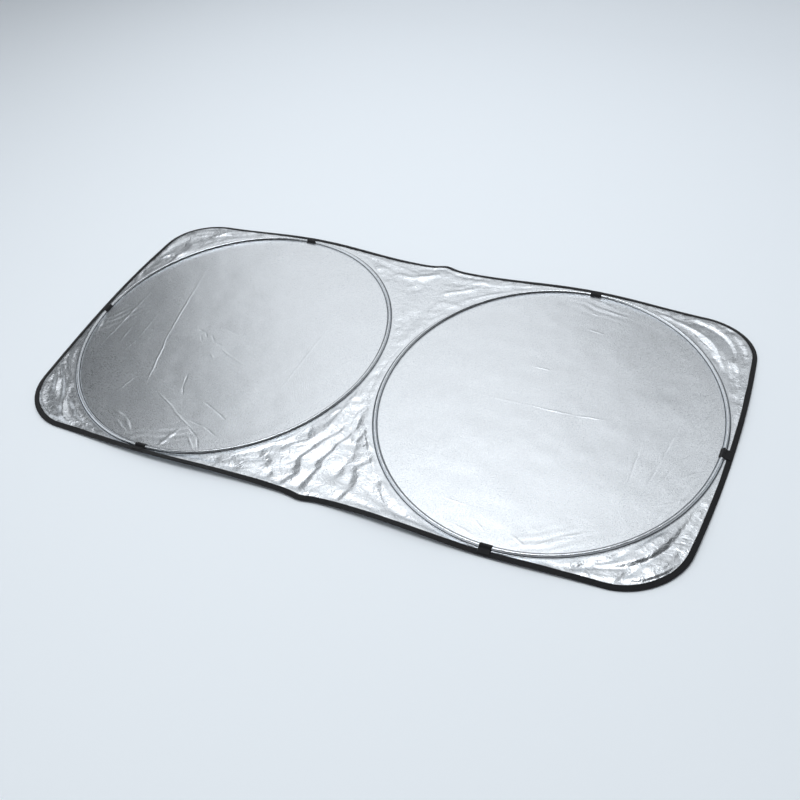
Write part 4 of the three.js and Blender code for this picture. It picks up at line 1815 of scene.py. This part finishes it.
@dataclass(frozen=True)
class Studio:
    """Pale floor, soft lights and the camera.

    Attributes:
        floor_size: Side of the floor.
        target: Point that the camera looks at, before its shift.
        distance: Distance of the camera from it.
        azimuth: Turn of the camera round the object in degrees, 0 from -Y.
        elevation: Height angle of the camera in degrees.
        roll: Roll of the camera in degrees.
        lens: Focal length in millimetres, on a sensor 36 mm wide.
        shift: Shift of the frame as a share of its width.
        overhead: Light of the ceiling, straight overhead.
        sweep: Light of the paper that sweeps up round the object, by the height of a direction.
        front: Light of the room in front on the left.
        dark: The dark part round the camera, which cuts off the light in front.
        room_colour: Colour of the room's light, as sRGB hex.
        backdrop: Colour of the backdrop that the camera sees, as sRGB hex.
        softboxes: The soft lights.
    """

    floor_size: float = 16.0
    target: tuple[float, float, float] = (0.1169, -0.0466, 0.0075)
    distance: float = 1.872
    azimuth: float = 26.712
    elevation: float = 43.962
    roll: float = -5.782
    lens: float = 40.08
    shift: tuple[float, float] = (-0.0297, -0.0105)
    overhead: Glow = Glow((0.0, 0.0, 1.0), 0.85, 1.0, 0.06, 0.5)
    sweep: Glow = Glow((0.0, 0.0, 1.0), 0.1, 0.38, 0.62, 0.0)
    front: Glow = Glow((-0.66, -0.75, 0.0), 0.25, 0.5, 0.0, 1.0)
    dark: Glow = Glow((0.37, -0.73, 0.57), 0.55, 0.72, 0.0, 0.0)
    room_colour: str = "#FBFDFF"
    backdrop: str = "#E4EBF2"
    softboxes: tuple[Softbox, ...] = (
        Softbox((-0.76, 1.65, 1.84), (0, 0, 0), (2.1, 2.5), 0.95),
        Softbox((-2.35, 2.95, 1.84), (0, 0, 0), (1.3, 1.4), 0.16),
        Softbox((1.2, 1.75, 1.84), (0, 0, 0), (1.7, 2.6), 0.66),
        Softbox((-0.45, 0.7, 2.0), (0, 0, 0), (2.0, 0.9), 0.38),
        Softbox((-0.05, -0.12, 3.8), (0, 0, 0), (2.6, 1.6), 5.6),
    )

    def add_camera(self) -> None:
        """Adds the camera and makes it the scene's."""
        azimuth, elevation, roll = (math.radians(v) for v in (self.azimuth, self.elevation, self.roll))
        back = Vector((
            math.sin(azimuth) * math.cos(elevation),
            -math.cos(azimuth) * math.cos(elevation),
            math.sin(elevation),
        ))
        level = Vector((math.cos(azimuth), math.sin(azimuth), 0))
        upright = back.cross(level)
        right = math.cos(roll) * level + math.sin(roll) * upright
        up = -math.sin(roll) * level + math.cos(roll) * upright
        data = bpy.data.cameras.new("camera")
        data.lens = self.lens
        data.shift_x, data.shift_y = self.shift
        camera = bpy.data.objects.new("camera", data)
        turn = Matrix((right, up, back)).transposed().to_4x4()
        camera.matrix_world = Matrix.Translation(Vector(self.target) + back * self.distance) @ turn
        bpy.context.scene.collection.objects.link(camera)
        bpy.context.scene.camera = camera

    def add_floor(self) -> None:
        """Adds the floor of pale seamless paper, which diffuses light evenly, with a painted falloff of
        light toward the back.
        """
        half = self.floor_size / 2
        corners = np.array([[-half, -half, 0], [half, -half, 0], [half, half, 0], [-half, half, 0]])
        floor = mesh_piece("floor", corners, np.array([[0, 1, 2, 3]]))
        floor.data.materials.append(SeamlessPaper().build())

    def add_softbox(self, box: Softbox) -> None:
        """Adds a soft light.

        Args:
            box: The light.
        """
        way = Vector(box.place) - Vector(box.aim)
        data = bpy.data.lights.new("softbox", "AREA")
        data.shape = "RECTANGLE"
        data.size, data.size_y = box.size
        data.energy = box.level * math.pi * box.size[0] * box.size[1]
        light = bpy.data.objects.new("softbox", data)
        light.location = box.place
        light.rotation_euler = way.to_track_quat("Z", "Y").to_euler()
        bpy.context.scene.collection.objects.link(light)

    def add_world(self) -> None:
        """Adds a dim room, lit overhead, on its front left and where the paper sweeps up all round."""
        world = bpy.data.worlds.new("studio")
        world.use_nodes = True
        bpy.context.scene.world = world
        tree = world.node_tree
        way = add_node(tree, "TexCoord").outputs["Generated"]
        in_front = self.dark.add(tree, way, self.front.add(tree, way))
        level = self.overhead.add(tree, way)
        for part in (self.sweep.add(tree, way), in_front):
            level = add_node(tree, "Math", {"operation": "ADD"}, in0=level, in1=part).outputs[0]
        shade = add_node(
            tree, "MixRGB", Fac=level, Color1=linear("#000000"), Color2=linear(self.room_colour)
        )
        seen = add_node(tree, "LightPath")
        colour = add_node(
            tree, "MixRGB", Fac=seen.outputs["Is Camera Ray"], Color1=shade.outputs["Color"],
            Color2=linear(self.backdrop),
        )
        background = tree.nodes["Background"]
        tree.links.new(colour.outputs["Color"], background.inputs["Color"])

    def build(self) -> None:
        """Adds everything in the studio."""
        self.add_camera()
        self.add_floor()
        self.add_world()
        for box in self.softboxes:
            self.add_softbox(box)
        bpy.context.scene.view_settings.view_transform = "Standard"


@dataclass
class Sunshade:
    """The whole article: cloth, edge tape, sleeves, tabs, stitching and the hoops of wire.

    Attributes:
        panel: The cloth.
        tape: The edge tape.
        tape_seam: Distance of the tape's stitches from the ends of its legs.
        flange_seam: Distance of a sleeve's stitches from the ends of its flanges.
        cloth_area: Area of the cloth laid flat, in square metres; not used.
    """

    panel: ClothPanel = field(default_factory=ClothPanel)
    tape: EdgeTape = field(default_factory=EdgeTape)
    tape_seam: float = 1.8 * MM
    flange_seam: float = 0.7 * MM
    cloth_area: float = 1.15

    def keep(self, piece: bpy.types.Object, slot: str, *nodes: str) -> bpy.types.Object:
        """Sets a piece on the object's body and reports it.

        Args:
            piece: The piece.
            slot: Name of the solids' material slot that the piece matches; not used.
            *nodes: The solids that it replaces.

        Returns:
            The piece.
        """
        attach(piece, BODY)
        if nodes:
            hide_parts(*nodes)
        LOG.info("%s: %d faces", piece.name, len(piece.data.polygons))
        return piece

    def sew_tape_stitches(self, material: bpy.types.Material) -> None:
        """Sews the edge tape along the ends of its legs.

        Args:
            material: Finish of the thread.
        """
        points, out = PLAN.outline(self.tape.pitch)
        along = LEVELS.tape_leg - self.tape_seam
        half = float(np.interp(along, [0, LEVELS.tape_leg], [self.tape.fold_half, self.tape.hem_half]))
        lift = LEVELS.lift_at(points[:, 0], points[:, 1])
        seam = LEVELS.on_tape(along, half, lift) * (-1, 1)
        row = placed(points, out, seam[:, None])[:, 0]
        cos, sin = math.cos(LEVELS.tape_droop), math.sin(LEVELS.tape_droop)
        up = np.column_stack([out * sin, np.full(len(out), cos)])
        self.keep(StitchRow("tape_stitching").build(row, up, material), "black_tape")

    def sew_sleeve_stitches(self, sleeve: HoopSleeve, material: bpy.types.Material) -> None:
        """Sews a sleeve down along both flanges.

        Args:
            sleeve: The sleeve.
            material: Finish of the thread.
        """
        points, out = PLAN.hoop(sleeve.side, sleeve.steps)
        up = np.tile([[0.0, 0.0, 1.0]], (len(points), 1))
        for word, across in (("outer", 1), ("inner", -1)):
            place = across * (sleeve.half_width - self.flange_seam)
            height = LEVELS.seam + sleeve.thickness + 0.1 * MM
            row = placed(points, out, np.tile([[[place, height]]], (len(points), 1, 1)))[:, 0]
            stitches = StitchRow(f"sleeve_stitching_{word}_{sleeve.side.word}").build(row, up, material)
            self.keep(stitches, "sleeve_cloth")

    def build(self) -> None:
        """Builds and dresses every piece."""
        cloth = SilveredPolyester(creases=HOOP_CREASES + SLACK_CREASES).build()
        sleeve_cloth = SleeveCloth().build()
        tape = WovenTape().build()
        black_thread = SewingThread().build()
        grey_thread = SewingThread(name="grey_sewing_thread", colour="#4E565F").build()
        spring = RolledSteel("spring_steel", "#6F7276", 0.4, 1.0).build()
        plated = RolledSteel("zinc_plated_steel", "#A6A8AA", 0.45, 1.0).build()

        panel = self.keep(self.panel.build(cloth), "silver_cloth", "fabric_panel")
        sewn = [self.keep(self.tape.build(tape), "black_tape", "edge_binding")]
        self.sew_tape_stitches(black_thread)
        for side in Side:
            sleeve = HoopSleeve(side)
            sewn.append(self.keep(sleeve.build(sleeve_cloth), "sleeve_cloth", f"hoop_sleeve_{side.word}"))
            self.sew_sleeve_stitches(sleeve, grey_thread)
            for place in Place:
                tab = TapeTab(side, place).build(tape)
                sewn.append(self.keep(tab, "black_tape", f"tab_{place.value}_{side.word}"))
            for kind, steel in (("hoop_wire", spring), ("wire_ferrule", plated)):
                node = f"{kind}_{side.word}"
                for material_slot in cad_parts[node].material_slots:
                    material_slot.material = steel
                LOG.info("%s: %s", node, steel.name)


def main() -> None:
    """Builds the studio and the sunshade."""
    logging.basicConfig(level=logging.INFO, format="%(message)s")
    Studio().build()
    Sunshade().build()


if __name__ == "__main__":
    main()
